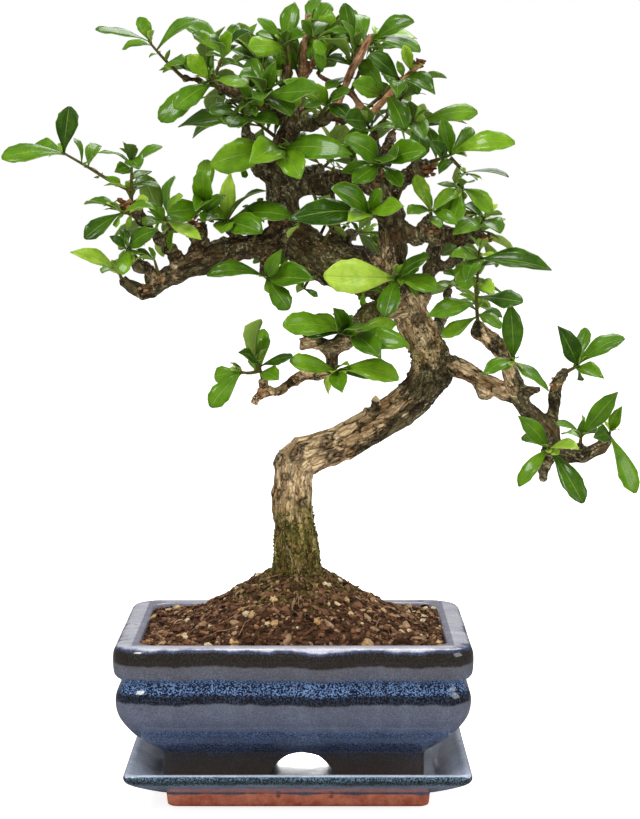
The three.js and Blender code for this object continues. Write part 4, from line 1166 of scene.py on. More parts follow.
@dataclass
class Pot(Tray):
    """The pot: a thick lip over a bellied body, on a foot ring with an arch in each side."""

    foot: float = 10.3
    arch_widths: tuple[float, float] = (30, 24)
    arch_height: float = 14.2
    arch_shift: float = 4.0
    drain_radius: float = 6.0
    drain_place: tuple[float, float] = (30, 25)

    def build(self) -> Piece:
        """Makes the pot and dresses it.

        Returns:
            The pot.
        """
        body = self.skin()
        front, side = self.arch_widths
        for width, turn, shift in ((front, 0, self.arch_shift), (side, math.pi / 2, 0)):
            self._cut(body, vertices=48, radius=1, depth=2, rotation=(math.pi / 2, 0, turn),
                      location=(shift * MM, 0, self.foot * MM),
                      scale=(width / 2 * MM, self.arch_height * MM, 0.1))
        for sign in (-1, 1):
            place = (sign * self.drain_place[0] * MM, 0, self.drain_place[1] * MM)
            self._cut(body, vertices=32, radius=self.drain_radius * MM, depth=0.03, location=place)
        self.wander(body)
        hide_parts("pot")
        return dress(body, "glaze", POT_GLAZE.material(), blunt=48)

    def _cut(self, body: Piece, **settings: object) -> None:
        """Cuts a cylinder out of the pot.

        Args:
            body: The pot.
            **settings: The cylinder's size and place.
        """
        cutter = added("cutter", bpy.ops.mesh.primitive_cylinder_add, **settings)
        modify(body, "BOOLEAN", operation="DIFFERENCE", object=cutter, solver="EXACT")
        bpy.data.objects.remove(cutter)


@dataclass
class Saucer(Tray):
    """The saucer: a plain clay base, a glazed flank and a rolled lip round a level floor."""

    def build(self) -> Piece:
        """Makes the saucer and dresses it.

        Returns:
            The saucer.
        """
        piece = self.skin()
        self.wander(piece)
        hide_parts("saucer")
        return dress(piece, "saucer", SAUCER_GLAZE.material(), blunt=48)


POT = Pot(
    name="glazed_pot",
    half=(81, 61),
    corner=14,
    softer=0.42,
    uneven=0.22,
    profile=(
        (30, 25), (30, 11), (29.4, 10.3), (22.3, 10.3), (21.5, 11), (21.5, 23.4), (20.5, 25), (18.8, 26.2),
        (13, 30.5), (8.2, 35), (4.6, 39.5), (2, 44), (0.8, 49.5), (1.4, 54.5), (3.6, 57.8), (3.9, 60.2),
        (1.4, 61.5), (0.2, 64), (0, 71.6), (1.1, 75), (3.2, 76.3), (10.6, 76.4), (12.2, 75.2), (11.9, 64),
        (10.7, 55), (11.6, 47), (15, 39), (21, 33), (25, 31),
    ),
)
SAUCER = Saucer(
    name="glazed_saucer",
    half=(78, 61),
    corner=5,
    softer=0.25,
    uneven=0.16,
    sharpest=4.0,
    shift=2.1,
    profile=(
        (19.4, 0), (18.5, 0.6), (18.1, 6.2), (17.3, 6.8), (13, 8.4), (2, 14), (0.1, 16.2), (0, 18.2),
        (1, 19.3), (3, 19.3), (5, 17.6), (12, 12.8), (14.5, 10.5), (15.8, 10.02), (22, 10),
    ),
)


@dataclass
class DrainNets:
    """The squares of plastic mesh over the drainage holes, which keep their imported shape."""

    nodes: tuple[str, ...] = ("drain_mesh_left", "drain_mesh_right")

    def build(self) -> list[Piece]:
        """Dresses the squares.

        Returns:
            The squares.
        """
        plastic = Netting("drain_mesh").material()
        pieces = [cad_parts[node] for node in self.nodes]
        for piece in pieces:
            piece.data.materials.clear()
            piece.data.materials.append(plastic)
        return pieces


def crumb_shape(name: str, size: Point, seed: int, detail: int = 2, shake: float = 0.16) -> Piece:
    """Models one crumb: a ball whose points are shaken, flattened into shape.

    Args:
        name: The crumb's name.
        size: Its length, width and height in millimetres.
        seed: Which way it is shaken.
        detail: How finely the ball is divided.
        shake: How far its points are shaken, against its width.

    Returns:
        The crumb, round the origin.
    """
    piece = added(name, bpy.ops.mesh.primitive_ico_sphere_add, subdivisions=detail, radius=0.5)
    with editing(piece):
        bpy.ops.transform.vertex_random(offset=shake, seed=seed)
        bpy.ops.transform.resize(value=[s * MM for s in size], center_override=(0, 0, 0))
        bpy.ops.mesh.normals_make_consistent(inside=False)
    return piece


@dataclass(frozen=True)
class CrumbKind:
    """One kind of crumb on the soil, how many there are and how much they differ in size."""

    name: str
    size: Point
    count: int
    finish: Crumbly
    smallest: float = 0.6
    largest: float = 1.4
    detail: int = 2
    beyond: float = 0.0
    within: float = 90.0
    blunt: float = 40.0
    shake: float = 0.16


@dataclass
class SoilBed:
    """Bark soil mounded up to the trunk, with crumbs, grit and root hairs lying on it."""

    kinds: tuple[CrumbKind, ...] = (
        CrumbKind("bark_chips", (4.8, 2.1, 1.3), 620, CHIP_BARK, beyond=19),
        CrumbKind("bark_crumbs", (2.1, 1.5, 1.2), 4600, CHIP_BARK, detail=1, blunt=20),
        CrumbKind("grit_crumbs", (2.8, 2.1, 1.5), 130, GRIT, 0.35, 1.6, beyond=18, blunt=20, shake=0.3),
        CrumbKind("long_flakes", (8.0, 1.3, 0.8), 150, CHIP_BARK, beyond=16),
        CrumbKind("mossy_crumbs", (1.8, 1.5, 1.2), 1500, MOSSY_DIRT, detail=1, within=30, blunt=20),
    )
    half: tuple[float, float] = (69.0, 49.0)
    trunk: tuple[float, float, float] = (1, 0, 12.5)
    hairs: int = 34
    voxel: float = 1.25
    wall_top: float = 70.5
    raised: float = 1.1
    above: float = 0.13

    def __post_init__(self) -> None:
        """Makes the soil that everything lies on."""
        self.draw = random.Random(5)
        self.bed = merged_copy("soil", "soil_bed")
        modify(self.bed, "REMESH", mode="VOXEL", voxel_size=self.voxel * MM)
        self._roughen()
        mesh = self.bed.data
        self.surface = BVHTree.FromPolygons([v.co.copy() for v in mesh.vertices],
                                            [tuple(p.vertices) for p in mesh.polygons])

    def build(self) -> list[Piece]:
        """Dresses the soil, and makes and dresses what lies on it.

        Returns:
            The pieces.
        """
        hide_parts("soil")
        pieces = [dress(self.bed, "soil", Earth("soil").material())]
        used = dict.fromkeys(kind.finish for kind in self.kinds)
        finishes = {finish: finish.material() for finish in used}
        for seed, kind in enumerate(self.kinds):
            crumbs = self._crumbs(kind, seed)
            pieces.append(dress(crumbs, "soil", finishes[kind.finish], blunt=kind.blunt))
        return [*pieces, dress(self._hairs(), "soil", ROOT_HAIR.material())]

    def _roughen(self) -> None:
        """Raises lumps on the soil's top and leaves its wall and floor alone."""
        places = coordinates(self.bed.data)
        for place in places:
            if place[2] > self.wall_top * MM:
                point = Vector(place)
                lift = 0.9 * noise.noise(point * 180) + 0.7 * noise.noise(point * 420)
                room = [(half + 0.5 - abs(away) / MM) / 1.2 for half, away in zip(self.half, place)]
                place[2] += max(0.0, min(1.0, *room)) * (self.raised + lift) * MM
        place_vertices(self.bed.data, places)

    def _spot(self, beyond: float = 0.0, within: float = 90.0) -> Optional[tuple[Vector, Vector]]:
        """Picks a place on the soil.

        Args:
            beyond: How far from the trunk's middle it must be, in millimetres.
            within: How near to the trunk's middle it must be.

        Returns:
            The place and the way the soil faces there, or nothing where it isn't allowed.
        """
        x, y = (self.draw.uniform(-half, half) for half in self.half)
        away = math.hypot(x - self.trunk[0], y - self.trunk[1])
        if not max(self.trunk[2], beyond) < away < within:
            return None
        place, normal, _, _ = self.surface.ray_cast(Vector((x * MM, y * MM, self.above)), -UP)
        return (place, normal) if place is not None and normal.z > 0.2 else None

    def _crumbs(self, kind: CrumbKind, seed: int) -> Piece:
        """Lays one kind of crumb over the soil.

        Args:
            kind: The kind of crumb.
            seed: Which shape the kind has.

        Returns:
            The crumbs as one piece.
        """
        draw = self.draw
        copies: list[tuple[Matrix, float]] = []
        while len(copies) < kind.count:
            spot = self._spot(kind.beyond, kind.within)
            if spot is None:
                continue
            place, normal = spot
            size = draw.uniform(kind.smallest, kind.largest)
            turn = facing(normal.lerp(shaken(draw), 0.15))
            turn = turn @ Matrix.Rotation(draw.uniform(0, 6.28), 4, "Z")
            stretch = stretched(size, draw, (0.75, 1.25), (0.7, 1.2))
            rise = 0.2 * kind.size[2] * size * MM
            copies.append((Matrix.Translation(place + normal * rise) @ turn @ stretch, draw.random()))
        return scattered(crumb_shape(kind.name, kind.size, seed, kind.detail, kind.shake), copies)

    def _hairs(self) -> Piece:
        """Lays fine root hairs on the soil.

        Returns:
            The hairs as one piece.
        """
        draw = self.draw
        paths: list[list[Vector]] = []
        while len(paths) < self.hairs:
            spot = self._spot()
            if spot is None:
                continue
            heading = draw.uniform(0, 2 * math.pi)
            point = spot[0]
            path: list[Vector] = []
            for _ in range(draw.randint(4, 8)):
                heading += draw.gauss(0, 0.5)
                point = point + 2.4 * MM * Vector((math.cos(heading), math.sin(heading), 0))
                ground, _, _, _ = self.surface.ray_cast(Vector((point.x, point.y, self.above)), -UP)
                if ground is None or any(abs(away) >= half * MM for away, half in zip(point, self.half)):
                    break
                path.append(ground + UP * draw.uniform(0.5, 1.8) * MM)
            if len(path) > 2:
                paths.append(path)
        return strands("root_hairs", paths, [draw.uniform(0.18, 0.38) * MM for _ in paths])


def ramped(values: np.ndarray, low: float, high: float) -> np.ndarray:
    """Runs from 0 at one number to 1 at another."""
    return np.clip((values - low) / (high - low), 0, 1)


def bell(values: np.ndarray, middle: float = 0.0, width: float = 1.0) -> np.ndarray:
    """Falls smoothly from 1 at a number to 0 on both sides."""
    return np.exp(-(((values - middle) / width) ** 2))


def off_line(places: np.ndarray, start: Point, end: Point) -> tuple[np.ndarray, np.ndarray]:
    """Measures points from a straight line.

    Args:
        places: One row for each point.
        start: Where the line starts.
        end: Where it ends.

    Returns:
        How each point lies from the nearest place on the line, and how far along that is, as a share.
    """
    a, b = np.array(start, float), np.array(end, float)
    share = np.clip(((places - a) @ (b - a)) / ((b - a) @ (b - a)), 0, 1)
    return places - (a + share[:, None] * (b - a)), share


def off_point(places: np.ndarray, point: Point) -> np.ndarray:
    """Measures how far points are from one point."""
    return np.linalg.norm(places - np.array(point, float), axis=1)


@dataclass
class TreeWood:
    """The trunk, branches and cut sticks, with rough growths and moss on them."""

    voxel: float = 0.9
    lengthwise: float = 0.3
    stick: float = 1.9
    smooth_below: float = 90.0
    bare_below: float = 84.0
    granules: int = 1500

    def build(self) -> list[Piece]:
        """Makes the wood and what grows on it, and dresses them.

        Returns:
            The pieces, the wood first.
        """
        wood = merged_copy("wood", "tree_wood")
        modify(wood, "REMESH", mode="VOXEL", voxel_size=self.voxel * MM)
        modify(wood, "SMOOTH", factor=0.5, iterations=5)
        self._knobble(wood.data)
        moss = self._paint(wood.data)
        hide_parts("wood")
        return [
            dress(wood, "bark", Bark("bark").material()),
            dress(self._growths(), "bark", RUST.material(), blunt=60),
            dress(strands("cut_stick", [vectors(SPARE_STICK)], [self.stick * MM], 6), "bark",
                  CUT_BARK.material()),
            dress(self._moss(wood.data, moss), "bark", MOSS.material()),
        ]

    def _knobble(self, mesh: bpy.types.Mesh) -> None:
        """Raises ridges, knobs and burls on the bark.

        Args:
            mesh: The wood's mesh.
        """
        places, normals = coordinates(mesh), per_vertex(mesh, "normal")
        grain, along = self._grain(places)
        burls = np.zeros(len(places))
        for x, z, radius in KNOTS:
            away = np.hypot(places[:, 0] / MM - x, places[:, 2] / MM - z) / radius
            burls += (0.9 * bell(away, 1.3, 0.35) - 1.2 * bell(away, 0, 0.55)) * (normals[:, 1] < -0.1)
        for centre, radius, height in BURLS:
            burls += height * bell(off_point(places / MM, centre) / radius)
        red = self._near_sticks(places / MM)
        crowns = ramped(places[:, 2] / MM, 190, 220) * (1 - red)
        burls -= 0.5 * red
        for place, normal, across, way, burl, crown in zip(places, normals, grain, along, burls, crowns):
            if place[2] < self.smooth_below * MM:
                continue
            point = Vector(place)
            ridge = Vector(across) * 330 + Vector((0.3, 0.5, 0.8)) * way * 330
            lift = 0.5 * noise.noise(point * 110) + 0.7 * noise.noise(ridge)
            lift += 0.4 * noise.noise(ridge * 2.6)
            lift += crown * (1.0 * noise.noise(point * 300) + 1.6 * max(0.0, noise.noise(point * 150)))
            place += normal * (lift + burl) * MM
        place_vertices(mesh, places)

    def _near_sticks(self, places: np.ndarray) -> np.ndarray:
        """Marks the cut sticks with reddish bark.

        Args:
            places: The points, in millimetres.

        Returns:
            A mark from 0 to 1 for each point.
        """
        marks = np.zeros(len(places))
        for start, end, reach in RED_STICKS:
            away = np.linalg.norm(off_line(places, start, end)[0], axis=1)
            marks = np.maximum(marks, ramped(away, reach + 1, reach - 1))
        return marks

    def _grain(self, places: np.ndarray) -> tuple[np.ndarray, np.ndarray]:
        """Finds each point's place across its limb and the way along it.

        Args:
            places: The points, in metres.

        Returns:
            The places across and the ways along, in metres, the ways shortened so that bark runs along.
        """
        best = np.full(len(places), np.inf)
        across = np.zeros_like(places)
        along = np.zeros(len(places))
        start = 0.0
        for limb in LIMBS:
            for line in zip(limb, limb[1:]):
                ends = np.array(line) * MM
                length = float(np.linalg.norm(ends[1] - ends[0]))
                off, share = off_line(places, *ends)
                away = np.linalg.norm(off, axis=1)
                nearer = away < best
                best[nearer] = away[nearer]
                across[nearer] = off[nearer]
                along[nearer] = (start + share * length)[nearer]
                start += length
            start += 0.05
        return across, along * self.lengthwise

    def _paint(self, mesh: bpy.types.Mesh) -> np.ndarray:
        """Marks where the bark is pale, red, mossy and dirty as "zones", and the grain and knots. Paleness
        is lowered on downward faces of the low right-hand limb as painted shade.

        Args:
            mesh: The wood's mesh.

        Returns:
            How mossy each vertex is.
        """
        places, normals = coordinates(mesh) / MM, per_vertex(mesh, "normal")
        x, z = places[:, 0], places[:, 2]
        # Downward faces of the low right-hand limb, below the crown, lose their paleness and show dark
        # bark: painted shade.
        under = ramped(normals[:, 2], 0.25, -0.35) * ramped(x, 20, 36)
        pale = np.maximum(0.08, ramped(z + 0.6 * np.maximum(0, x - 36), 214, 178))
        pale -= 0.85 * under * ramped(z, 204, 194)
        for place, reach, amount in PALE_PLACES:
            pale = np.maximum(pale, amount * ramped(off_point(places, place), reach + 5, reach - 3))
        moss, knots = np.zeros(len(places)), np.zeros(len(places))
        for place, reach in MOSSY_PLACES:
            moss = np.maximum(moss, ramped(off_point(places, place), reach + 14, reach - 6))
        for knot_x, knot_z, radius in KNOTS:
            away = np.hypot(x - knot_x, z - knot_z) / radius
            pit = (0.85 * bell(away, 0.95, 0.3) + bell(away, 0, 0.4)) * (normals[:, 1] < -0.1)
            knots = np.maximum(knots, pit)
        across, along = self._grain(places * MM)
        mark(mesh, "zones", np.column_stack((pale, self._near_sticks(places), moss, ramped(z, 144, 122))))
        mark(mesh, "grain", across)
        mark(mesh, "along", along)
        mark(mesh, "knot", np.clip(knots, 0, 1))
        return moss

    def _growths(self) -> Piece:
        """Heaps rough rust-brown scales on each knob of the branches.

        Returns:
            The growths as one piece.
        """
        draw = random.Random(17)
        copies: list[tuple[Matrix, float]] = []
        for place, radius in TUFTS:
            for _ in range(round(7 * radius)):
                way = shaken(draw).normalized()
                middle = Vector(place) + way * radius * draw.uniform(0.1, 0.8)
                size = draw.uniform(0.6, 1.5)
                stretch = stretched(size, draw, (0.5, 1), (0.7, 1.3))
                copies.append((Matrix.Translation(middle * MM) @ facing(way) @ stretch, draw.random()))
        return scattered(crumb_shape("rust_growths", (2.4, 1.9, 2.6), 17, 1, 0.3), copies)

    def _moss(self, mesh: bpy.types.Mesh, moss: np.ndarray) -> Piece:
        """Grows granules of moss on the mossy parts of the bark.

        Args:
            mesh: The wood's mesh.
            moss: How mossy each of its vertices is.

        Returns:
            The moss as one piece.
        """
        draw = random.Random(23)
        dense = moss > np.random.default_rng(4).uniform(0.3, 1.0, len(moss))
        mossy = np.nonzero(dense & (coordinates(mesh)[:, 2] > self.bare_below * MM))[0]
        copies: list[tuple[Matrix, float]] = []
        for index in draw.sample(mossy.tolist(), min(self.granules, len(mossy))):
            vertex = mesh.vertices[index]
            scale = Matrix.Scale(draw.uniform(0.3, 0.85), 4)
            copies.append((Matrix.Translation(vertex.co) @ facing(vertex.normal) @ scale, draw.random()))
        return scattered(crumb_shape("moss", (1.5, 1.5, 1.7), 31, 1), copies)


class LeafShape(Enum):
    """The outlines of leaves: how wide each is, as shares, at shares of its length."""

    BLUNT = (
        (0.0, 0.1), (0.1, 0.14), (0.2, 0.28), (0.32, 0.5), (0.45, 0.74), (0.58, 0.93), (0.7, 1.0),
        (0.8, 0.97), (0.88, 0.84), (0.94, 0.64), (0.98, 0.4), (1.0, 0.2),
    )
    POINTED = (
        (0.0, 0.09), (0.1, 0.16), (0.2, 0.4), (0.32, 0.7), (0.45, 0.92), (0.56, 1.0), (0.68, 0.94),
        (0.78, 0.77), (0.87, 0.52), (0.94, 0.28), (1.0, 0.05),
    )


@dataclass
class Blade:
    """Where one leaf stands: its foot and tip, the way its face looks, its half width and its arch."""

    foot: Vector
    tip: Vector
    up: Vector
    half: float
    rise: float
    tone: float = 0.4
    twist: float = 0.0
    cup: float = 0.0
    fold: float = 0.1
    wave: float = 0.1
    phase: float = 0.0
    droop: float = 0.0
    shape: LeafShape = LeafShape.BLUNT

    @property
    def small(self) -> bool:
        """Whether the leaf is too small to need a fine mesh."""
        return (self.tip - self.foot).length < 13 * MM

    def bend(self, draw: random.Random) -> None:
        """Gives the leaf its outline and bends it.

        Args:
            draw: The source of random numbers.
        """
        self.shape = LeafShape.BLUNT if draw.random() < 0.62 else LeafShape.POINTED
        self.twist = draw.gauss(0, 0.4)
        self.cup = draw.uniform(-0.25, 0.1)
        self.fold = draw.uniform(0.0, 0.6)
        self.wave = draw.uniform(0.0, 0.25)
        self.phase = draw.uniform(0, 2 * math.pi)
        self.droop = draw.uniform(-0.1, 0.45)


class LeafTemplate:
    """One leaf, modelled once: X runs from foot to tip, Y and Z are shares of its half width."""

    ACROSS = 4
    THICKNESS = 0.055

    def __init__(self, shape: LeafShape, lengths: int) -> None:
        """Models the leaf and keeps its points, faces, faces' materials and map.

        Args:
            shape: The leaf's outline.
            lengths: How many faces it is long.
        """
        leaf = added("leaf", bpy.ops.mesh.primitive_grid_add, x_subdivisions=lengths,
                     y_subdivisions=self.ACROSS, size=1)
        outline = list(zip(*shape.value))
        with editing(leaf) as mesh:
            for vertex in mesh.verts:
                place, side = vertex.co.x + 0.5, 2 * vertex.co.y
                share = place + 0.35 * place * (1 - place) if shape is LeafShape.BLUNT else place
                width = float(np.interp(share, *outline))
                if abs(side) > 0.99 and 0.62 < share < 0.98:
                    width *= 1 + 0.05 * (-1) ** round(place * lengths)
                fold = 0.12 * abs(side) - 0.08 * side * side
                vertex.co = Vector((share, side * width, width * fold))
            bmesh.update_edit_mesh(leaf.data)
        for name in ("top", "under"):
            leaf.data.materials.append(bpy.data.materials.new(name))
        modify(leaf, "SOLIDIFY", thickness=self.THICKNESS, offset=-1,
               material_offset=1, material_offset_rim=1)
        mesh = leaf.data
        self.points = coordinates(mesh)
        self.faces = [tuple(p.vertices) for p in mesh.polygons]
        self.sides = [p.material_index for p in mesh.polygons]
        self.map = np.zeros(len(mesh.loops) * 2, np.float32)
        mesh.uv_layers[0].data.foreach_get("uv", self.map)
        for material in list(mesh.materials):
            bpy.data.materials.remove(material)
        bpy.data.objects.remove(leaf)

    def placed(self, blade: Blade) -> np.ndarray:
        """Bends a copy of the leaf into its place.

        Args:
            blade: Where the leaf stands.

        Returns:
            The places of its points, in metres.
        """
        along = blade.tip - blade.foot
        up = (blade.up - blade.up.project(along)).normalized()
        side = along.normalized().cross(up)
        share, wide, high = self.points.T
        edge = np.sin(9 * share + blade.phase) * blade.wave * wide * np.abs(wide)
        high = high + blade.cup * wide * wide + blade.fold * np.abs(wide) + edge
        angle = blade.twist * (share - 0.4)
        across = blade.half * (wide * np.cos(angle) - high * np.sin(angle))
        lift = blade.half * (high * np.cos(angle) + wide * np.sin(angle))
        lift = lift + blade.rise * 4 * share * (1 - share)
        lift = lift - blade.droop * along.length * np.maximum(0, share - 0.45) ** 2
        return (np.array(blade.foot) + share[:, None] * np.array(along)
                + across[:, None] * np.array(side) + lift[:, None] * np.array(up))


class PackedSpray:
    """The leaves of a packed spray, read from its mesh."""

    TIP = 3
    KEEL = (0.8 * MM, 1.6 * MM)

    @classmethod
    def read(cls, node: str) -> list[Blade]:
        """Finds where the leaves stand.

        Args:
            node: The spray's node.

        Returns:
            The leaves.
        """
        source = merged_copy(node, "reading")
        mesh = bmesh.new()
        mesh.from_mesh(source.data)
        bpy.data.objects.remove(source)
        tips = [vertex for vertex in mesh.verts if len(vertex.link_edges) == cls.TIP]
        blades = [cls._blade_at(tip, [edge.other_vert(tip) for edge in tip.link_edges]) for tip in tips]
        mesh.free()
        return [blade for blade in blades if blade is not None]

    @classmethod
    def _blade_at(cls, vertex: bmesh.types.BMVert, ring: list) -> Optional[Blade]:
        """Reads one leaf from its tip: the last ring has two edges and a keel under them.

        Args:
            vertex: What may be a tip.
            ring: The three points round it.

        Returns:
            The leaf, or nothing where this isn't a tip.
        """
        middle, keel, width = cls._measured(ring)
        depth = (middle - keel).length
        if width < 3 * MM or not cls.KEEL[0] < depth < cls.KEEL[1]:
            return None
        # The last ring stands 0.3 of the length from the tip on a thick leaf and 0.24 on a thin one, whose
        # ring before stands at 0.6. The arch at a share s of the length is 4 s (1 - s) of its height.
        up = (middle - keel).normalized()
        tip, last = vertex.co, (middle + keel) / 2
        if depth > 1.2 * MM:
            rise = 0.075 * (tip - last).length / 0.3
            along = (tip - last + 0.84 * rise * up) / 0.3
            return Blade(tip - along, tip.copy(), up, width / 1.92, rise)
        before = {edge.other_vert(v) for v in ring for edge in v.link_edges} - set(ring) - {vertex}
        rise = 0.075 * (tip - last).length / 0.24
        if len(before) == cls.TIP:
            inner, low, _ = cls._measured(list(before))
            found = ((tip - (inner + low) / 2) - 2.5 * (tip - last)).dot(up) / 0.864
            rise = found if 0 < found < 3 * rise else rise
        along = (tip - last + 0.7296 * rise * up) / 0.24
        return Blade(tip - along, tip.copy(), up, width / 2, rise)

    @staticmethod
    def _measured(ring: list) -> tuple[Vector, Vector, float]:
        """Tells a ring's two edges, which lie furthest apart, from its keel.

        Args:
            ring: Three points.

        Returns:
            The middle between the edges, the keel, and how far apart the edges are.
        """
        width, i, j = max(((ring[i].co - ring[j].co).length, i, j) for i, j in ((0, 1), (1, 2), (0, 2)))
        return (ring[i].co + ring[j].co) / 2, ring[3 - i - j].co.copy(), width


@dataclass
class Foliage:
    """The sprays of leaves, each one piece round its shoots."""

    wood: Piece
    twig: float = 0.95
    reach: float = 4.0
    spacing: float = 4.6
    sparse: tuple[str, ...] = (
        "left_end", "left_crown", "upper_left_tip", "right_low_end", "right_low_hanging",
        "right_low_upright", "right_low_top", "hanging_left", "left_tuft", "low_left",
    )
    light_places: tuple[tuple[Point, float], ...] = (((29, -30, 236), 13), ((-103, -30, 318), 8))
    rosettes: int = 44

    def __post_init__(self) -> None:
        """Models each leaf once, in a fine and a plain mesh, and builds the finishes."""
        self.templates = {(shape, small): LeafTemplate(shape, 5 if small else 10)
                          for shape in LeafShape for small in (False, True)}
        self.materials = [finish.material() for finish in (LEAF_TOP, LEAF_UNDER, TWIG_BARK)]

    def build(self) -> list[Piece]:
        """Makes every spray and dresses it.

        Returns:
            The sprays.
        """
        pieces = []
        for number, (name, paths) in enumerate(SHOOTS.items()):
            draw = random.Random(300 + number)
            node = "spray_" + name
            lines = [vectors(path) for path in paths]
            blades = PackedSpray.read(node)
            for blade in blades:
                self._root(blade, lines)
                self._age(blade, draw, 0.66 if name.startswith(("right_", "hanging")) else 0.78)
            blades += self._young(lines, draw)
            blades += self._filling(lines, draw, self.spacing * (3.0 if name in self.sparse else 1.0))
            piece = self._spray("leaves_" + name, blades, lines)
            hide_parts(node)
            pieces.append(piece)
        pieces.append(self._spray("leaves_on_old_wood", *self._rosettes(random.Random(77))))
        return pieces

    def _spray(self, name: str, blades: list[Blade], lines: list[list[Vector]]) -> Piece:
        """Makes one piece of leaves and their shoots.

        Args:
            name: The piece's name.
            blades: The leaves.
            lines: The paths of the shoots.

        Returns:
            The piece, dressed.
        """
        used = [self.templates[blade.shape, blade.small] for blade in blades]
        points = np.vstack([template.placed(blade) for template, blade in zip(used, blades)])
        starts = np.cumsum([0] + [len(template.points) for template in used])
        faces = [tuple(v + int(start) for v in face)
                 for template, start in zip(used, starts) for face in template.faces]
        mesh = bpy.data.meshes.new(name)
        mesh.from_pydata(points.tolist(), [], faces)
        sides = [side for template in used for side in template.sides]
        mesh.polygons.foreach_set("material_index", sides)
        mesh.uv_layers.new(name="UVMap").data.foreach_set("uv", np.concatenate([t.map for t in used]))
        mark(mesh, "tone", np.repeat([b.tone for b in blades], [len(t.points) for t in used]))
        leaves = linked(name, mesh)
        twigs = strands("twigs", lines, [self.twig * MM] * len(lines), 4)
        for slot, material in enumerate(self.materials):
            (leaves if slot < 2 else twigs).data.materials.append(material)
        activate(leaves, twigs)
        bpy.ops.object.join()
        log.info("%s: %d leaves", name, len(blades))
        return dress(leaves, "leaf")

    def _root(self, blade: Blade, lines: list[list[Vector]]) -> None:
        """Moves a leaf's foot onto the nearest shoot, if that is near enough.

        Args:
            blade: The leaf.
            lines: The paths of the shoots.
        """
        places = []
        for a, b in ((a, b) for line in lines for a, b in zip(line, line[1:])):
            share = max(0.0, min(1.0, (blade.foot - a).dot(b - a) / (b - a).length_squared))
            places.append(a.lerp(b, share))
        nearest = min(places, key=lambda place: (place - blade.foot).length)
        if (nearest - blade.foot).length < self.reach * MM:
            blade.foot = nearest

    def _age(self, blade: Blade, draw: random.Random, slimmest: float) -> None:
        """Gives a packed leaf its tone, width and bend.

        Args:
            blade: The leaf.
            draw: The source of random numbers.
            slimmest: How slim it may become, against its packed width.
        """
        blade.tone = min(0.85, max(0.0, draw.gauss(0.36, 0.2)))
        if (blade.tip - blade.foot).length / MM < 15:
            blade.tone = min(1.0, blade.tone + 0.12)
        middle = (blade.foot + blade.tip) / 2 / MM
        blade.half *= draw.uniform(slimmest, 0.96)
        blade.bend(draw)
        if any((middle - Vector(place)).length < reach for place, reach in self.light_places):
            blade.tone = 0.97
            blade.shape = LeafShape.BLUNT

    def _young(self, lines: list[list[Vector]], draw: random.Random) -> list[Blade]:
        """Adds the small new leaves at the shoots' ends.

        Args:
            lines: The paths of the shoots.
            draw: The source of random numbers.

        Returns:
            The new leaves.
        """
        blades = []
        for line in lines:
            heading = (line[-1] - line[-2]).normalized()
            for _ in range(3):
                along = (heading * 1.2 + shaken(draw).normalized() * 0.9).normalized()
                length = draw.uniform(5, 9) * MM
                up = (UP + shaken(draw, 0.4)).normalized()
                foot = line[-1] - heading * draw.uniform(0, 1.5) * MM
                blades.append(Blade(foot, foot + along * length, up, 0.24 * length, 0.08 * length,
                                    draw.uniform(0.6, 0.95), draw.gauss(0, 0.2), 0.1))
        return blades

    def _filling(self, lines: list[list[Vector]], draw: random.Random, spacing: float) -> list[Blade]:
        """Sets small leaves in clusters along the shoots, between the large ones.

        Args:
            lines: The paths of the shoots.
            draw: The source of random numbers.
            spacing: How far apart the clusters are, in millimetres.

        Returns:
            The small leaves.
        """
        blades = []
        for line in lines:
            for a, b in zip(line, line[1:]):
                for _ in range(round((b - a).length / MM / spacing + draw.random() - 0.5)):
                    foot = a.lerp(b, draw.random())
                    blades += self._cluster(foot, (b - a).normalized(), draw,
                                            draw.choice((1, 2, 2)), (5, 12))
        return blades

    def _cluster(self, foot: Vector, heading: Vector, draw: random.Random, count: int,
                 lengths: tuple[float, float]) -> list[Blade]:
        """Spreads a few small leaves from one place.

        Args:
            foot: Where they grow.
            heading: The way that the shoot runs.
            draw: The source of random numbers.
            count: How many leaves there are.
            lengths: The shortest and the longest leaf, in millimetres.

        Returns:
            The leaves.
        """
        blades = []
        for _ in range(count):
            spread = Vector((draw.gauss(0, 1), draw.gauss(0, 1), draw.gauss(0.15, 0.8))).normalized()
            along = (heading * 0.5 + spread).normalized()
            length = draw.uniform(*lengths) * MM
            up = (UP + Vector((draw.gauss(0, 0.5), draw.gauss(-0.35, 0.5), 0))).normalized()
            if abs(up.dot(along)) > 0.9:
                up = Vector((0, -1, 0.2)).normalized()
            blade = Blade(foot, foot + along * length, up, draw.uniform(0.19, 0.27) * length,
                          0.07 * length, min(1.0, max(0.05, draw.gauss(0.5, 0.22))))
            blade.bend(draw)
            blades.append(blade)
        return blades

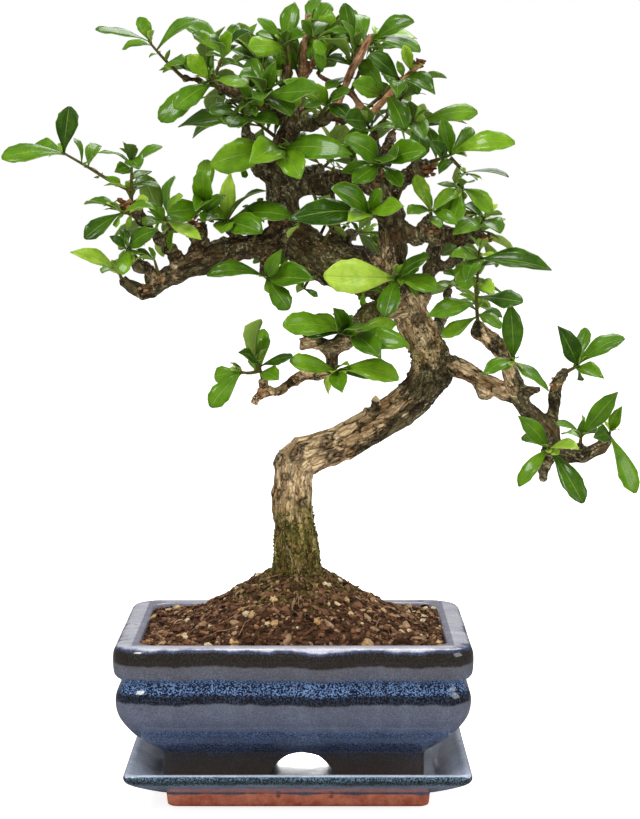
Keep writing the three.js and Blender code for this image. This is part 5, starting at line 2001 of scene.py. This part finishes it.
    def _rosettes(self, draw: random.Random) -> tuple[list[Blade], list[list[Vector]]]:
        """Sets small leafy shoots straight on the old wood of the crown.

        Args:
            draw: The source of random numbers.

        Returns:
            The leaves, and the paths of the shoots.
        """
        places = coordinates(self.wood.data) / MM
        inside = (places[:, 2] > 232) & (places[:, 2] < 338) & (np.abs(places[:, 0] - 10) < 75)
        crown = np.nonzero(inside)[0]
        blades: list[Blade] = []
        lines: list[list[Vector]] = []
        for index in draw.sample(crown.tolist(), self.rosettes):
            vertex = self.wood.data.vertices[index]
            heading = (vertex.normal + UP * 0.5 + shaken(draw, 0.4)).normalized()
            end = vertex.co + heading * draw.uniform(4, 11) * MM
            lines.append([vertex.co - vertex.normal * MM, vertex.co.lerp(end, 0.5) + UP * 0.4 * MM, end])
            blades += self._cluster(end, heading, draw, draw.randint(3, 5), (6, 13))
        for line in map(vectors, CROWN_SHOOTS):
            lines.append(line)
            for a, b in zip(line, line[1:]):
                for _ in range(4):
                    foot = a.lerp(b, draw.uniform(0.2, 1))
                    blades += self._cluster(foot, (b - a).normalized(), draw,
                                            draw.choice((1, 2, 2, 3)), (11, 19))
        return blades, lines


@dataclass
class Studio:
    """A white floor, soft lights and the camera at the photograph's place."""

    camera: Point = (0.012, -0.986, 0.2756)
    pitch: float = 5.72
    lens: float = 93.67
    surround: float = 0.75
    mirrored: float = 0.13
    lights: tuple[tuple[Point, float, float], ...] = (
        ((-0.55, -0.7, 1.25), 0.5, 11.0), ((1.0, -0.5, 0.7), 0.6, 4.0), ((0.2, 0.7, 1.1), 0.7, 6.0),
        ((0.003, 0.085, 0.0145), 0.027, 0.018),
    )

    def build(self) -> None:
        """Sets the stage."""
        floor = added("studio_floor", bpy.ops.mesh.primitive_plane_add, size=12)
        floor.data.materials.append(StudioWhite("studio_white").material())
        self._surround()
        for place, size, power in self.lights:
            self._light(Vector(place), size, power)
        turn = (math.radians(90 - self.pitch), 0, 0)
        camera = added("camera", bpy.ops.object.camera_add, location=self.camera, rotation=turn)
        camera.data.sensor_width = 36
        camera.data.lens = self.lens
        bpy.context.scene.camera = camera
        bpy.context.scene.view_settings.view_transform = "Standard"

    def _surround(self) -> None:
        """Surrounds the stage with white, which lights it and is mirrored in it only softly."""
        world = bpy.data.worlds.new("studio")
        world.use_nodes = True
        board = Board(world.node_tree)
        paths = board.add("LightPath")
        soft = paths["Is Glossy Ray"].span(0, 1, self.surround, self.mirrored)
        seen = paths["Is Camera Ray"].span(0, 1, soft, 1.0)
        board.fill(world.node_tree.nodes["Background"], {"Strength": seen, "Color": (1.0, 1.0, 1.0)})
        bpy.context.scene.world = world

    def _light(self, place: Vector, size: float, power: float) -> None:
        """Hangs one light: a soft one that faces the tree, or a small one that only mirrors in the glaze.

        Args:
            place: Where it hangs, in metres.
            size: How wide it is, in metres.
            power: Its power in watts.
        """
        soft = size > 0.2
        aim = Vector((0, 0, 0.18)) - place if soft else Vector((0, -0.03, -0.008))
        turn = aim.to_track_quat("-Z", "Y").to_euler()
        light = added("light", bpy.ops.object.light_add, type="AREA", location=place, rotation=turn)
        light.data.size = size
        light.data.energy = power
        light.data.spread = math.pi if soft else math.radians(18)
        light.visible_camera = False
        light.visible_diffuse = soft


def main() -> None:
    """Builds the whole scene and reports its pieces."""
    logging.basicConfig(level=logging.INFO, format="%(name)s %(message)s")
    Studio().build()
    pieces = [SAUCER.build(), POT.build(), *DrainNets().build(), *SoilBed().build()]
    grown = TreeWood().build()
    pieces += [*grown, *Foliage(grown[0]).build()]
    for piece in pieces:
        log.info("%s: %d faces", piece.name, len(piece.data.polygons))


if __name__ == "__main__":
    main()
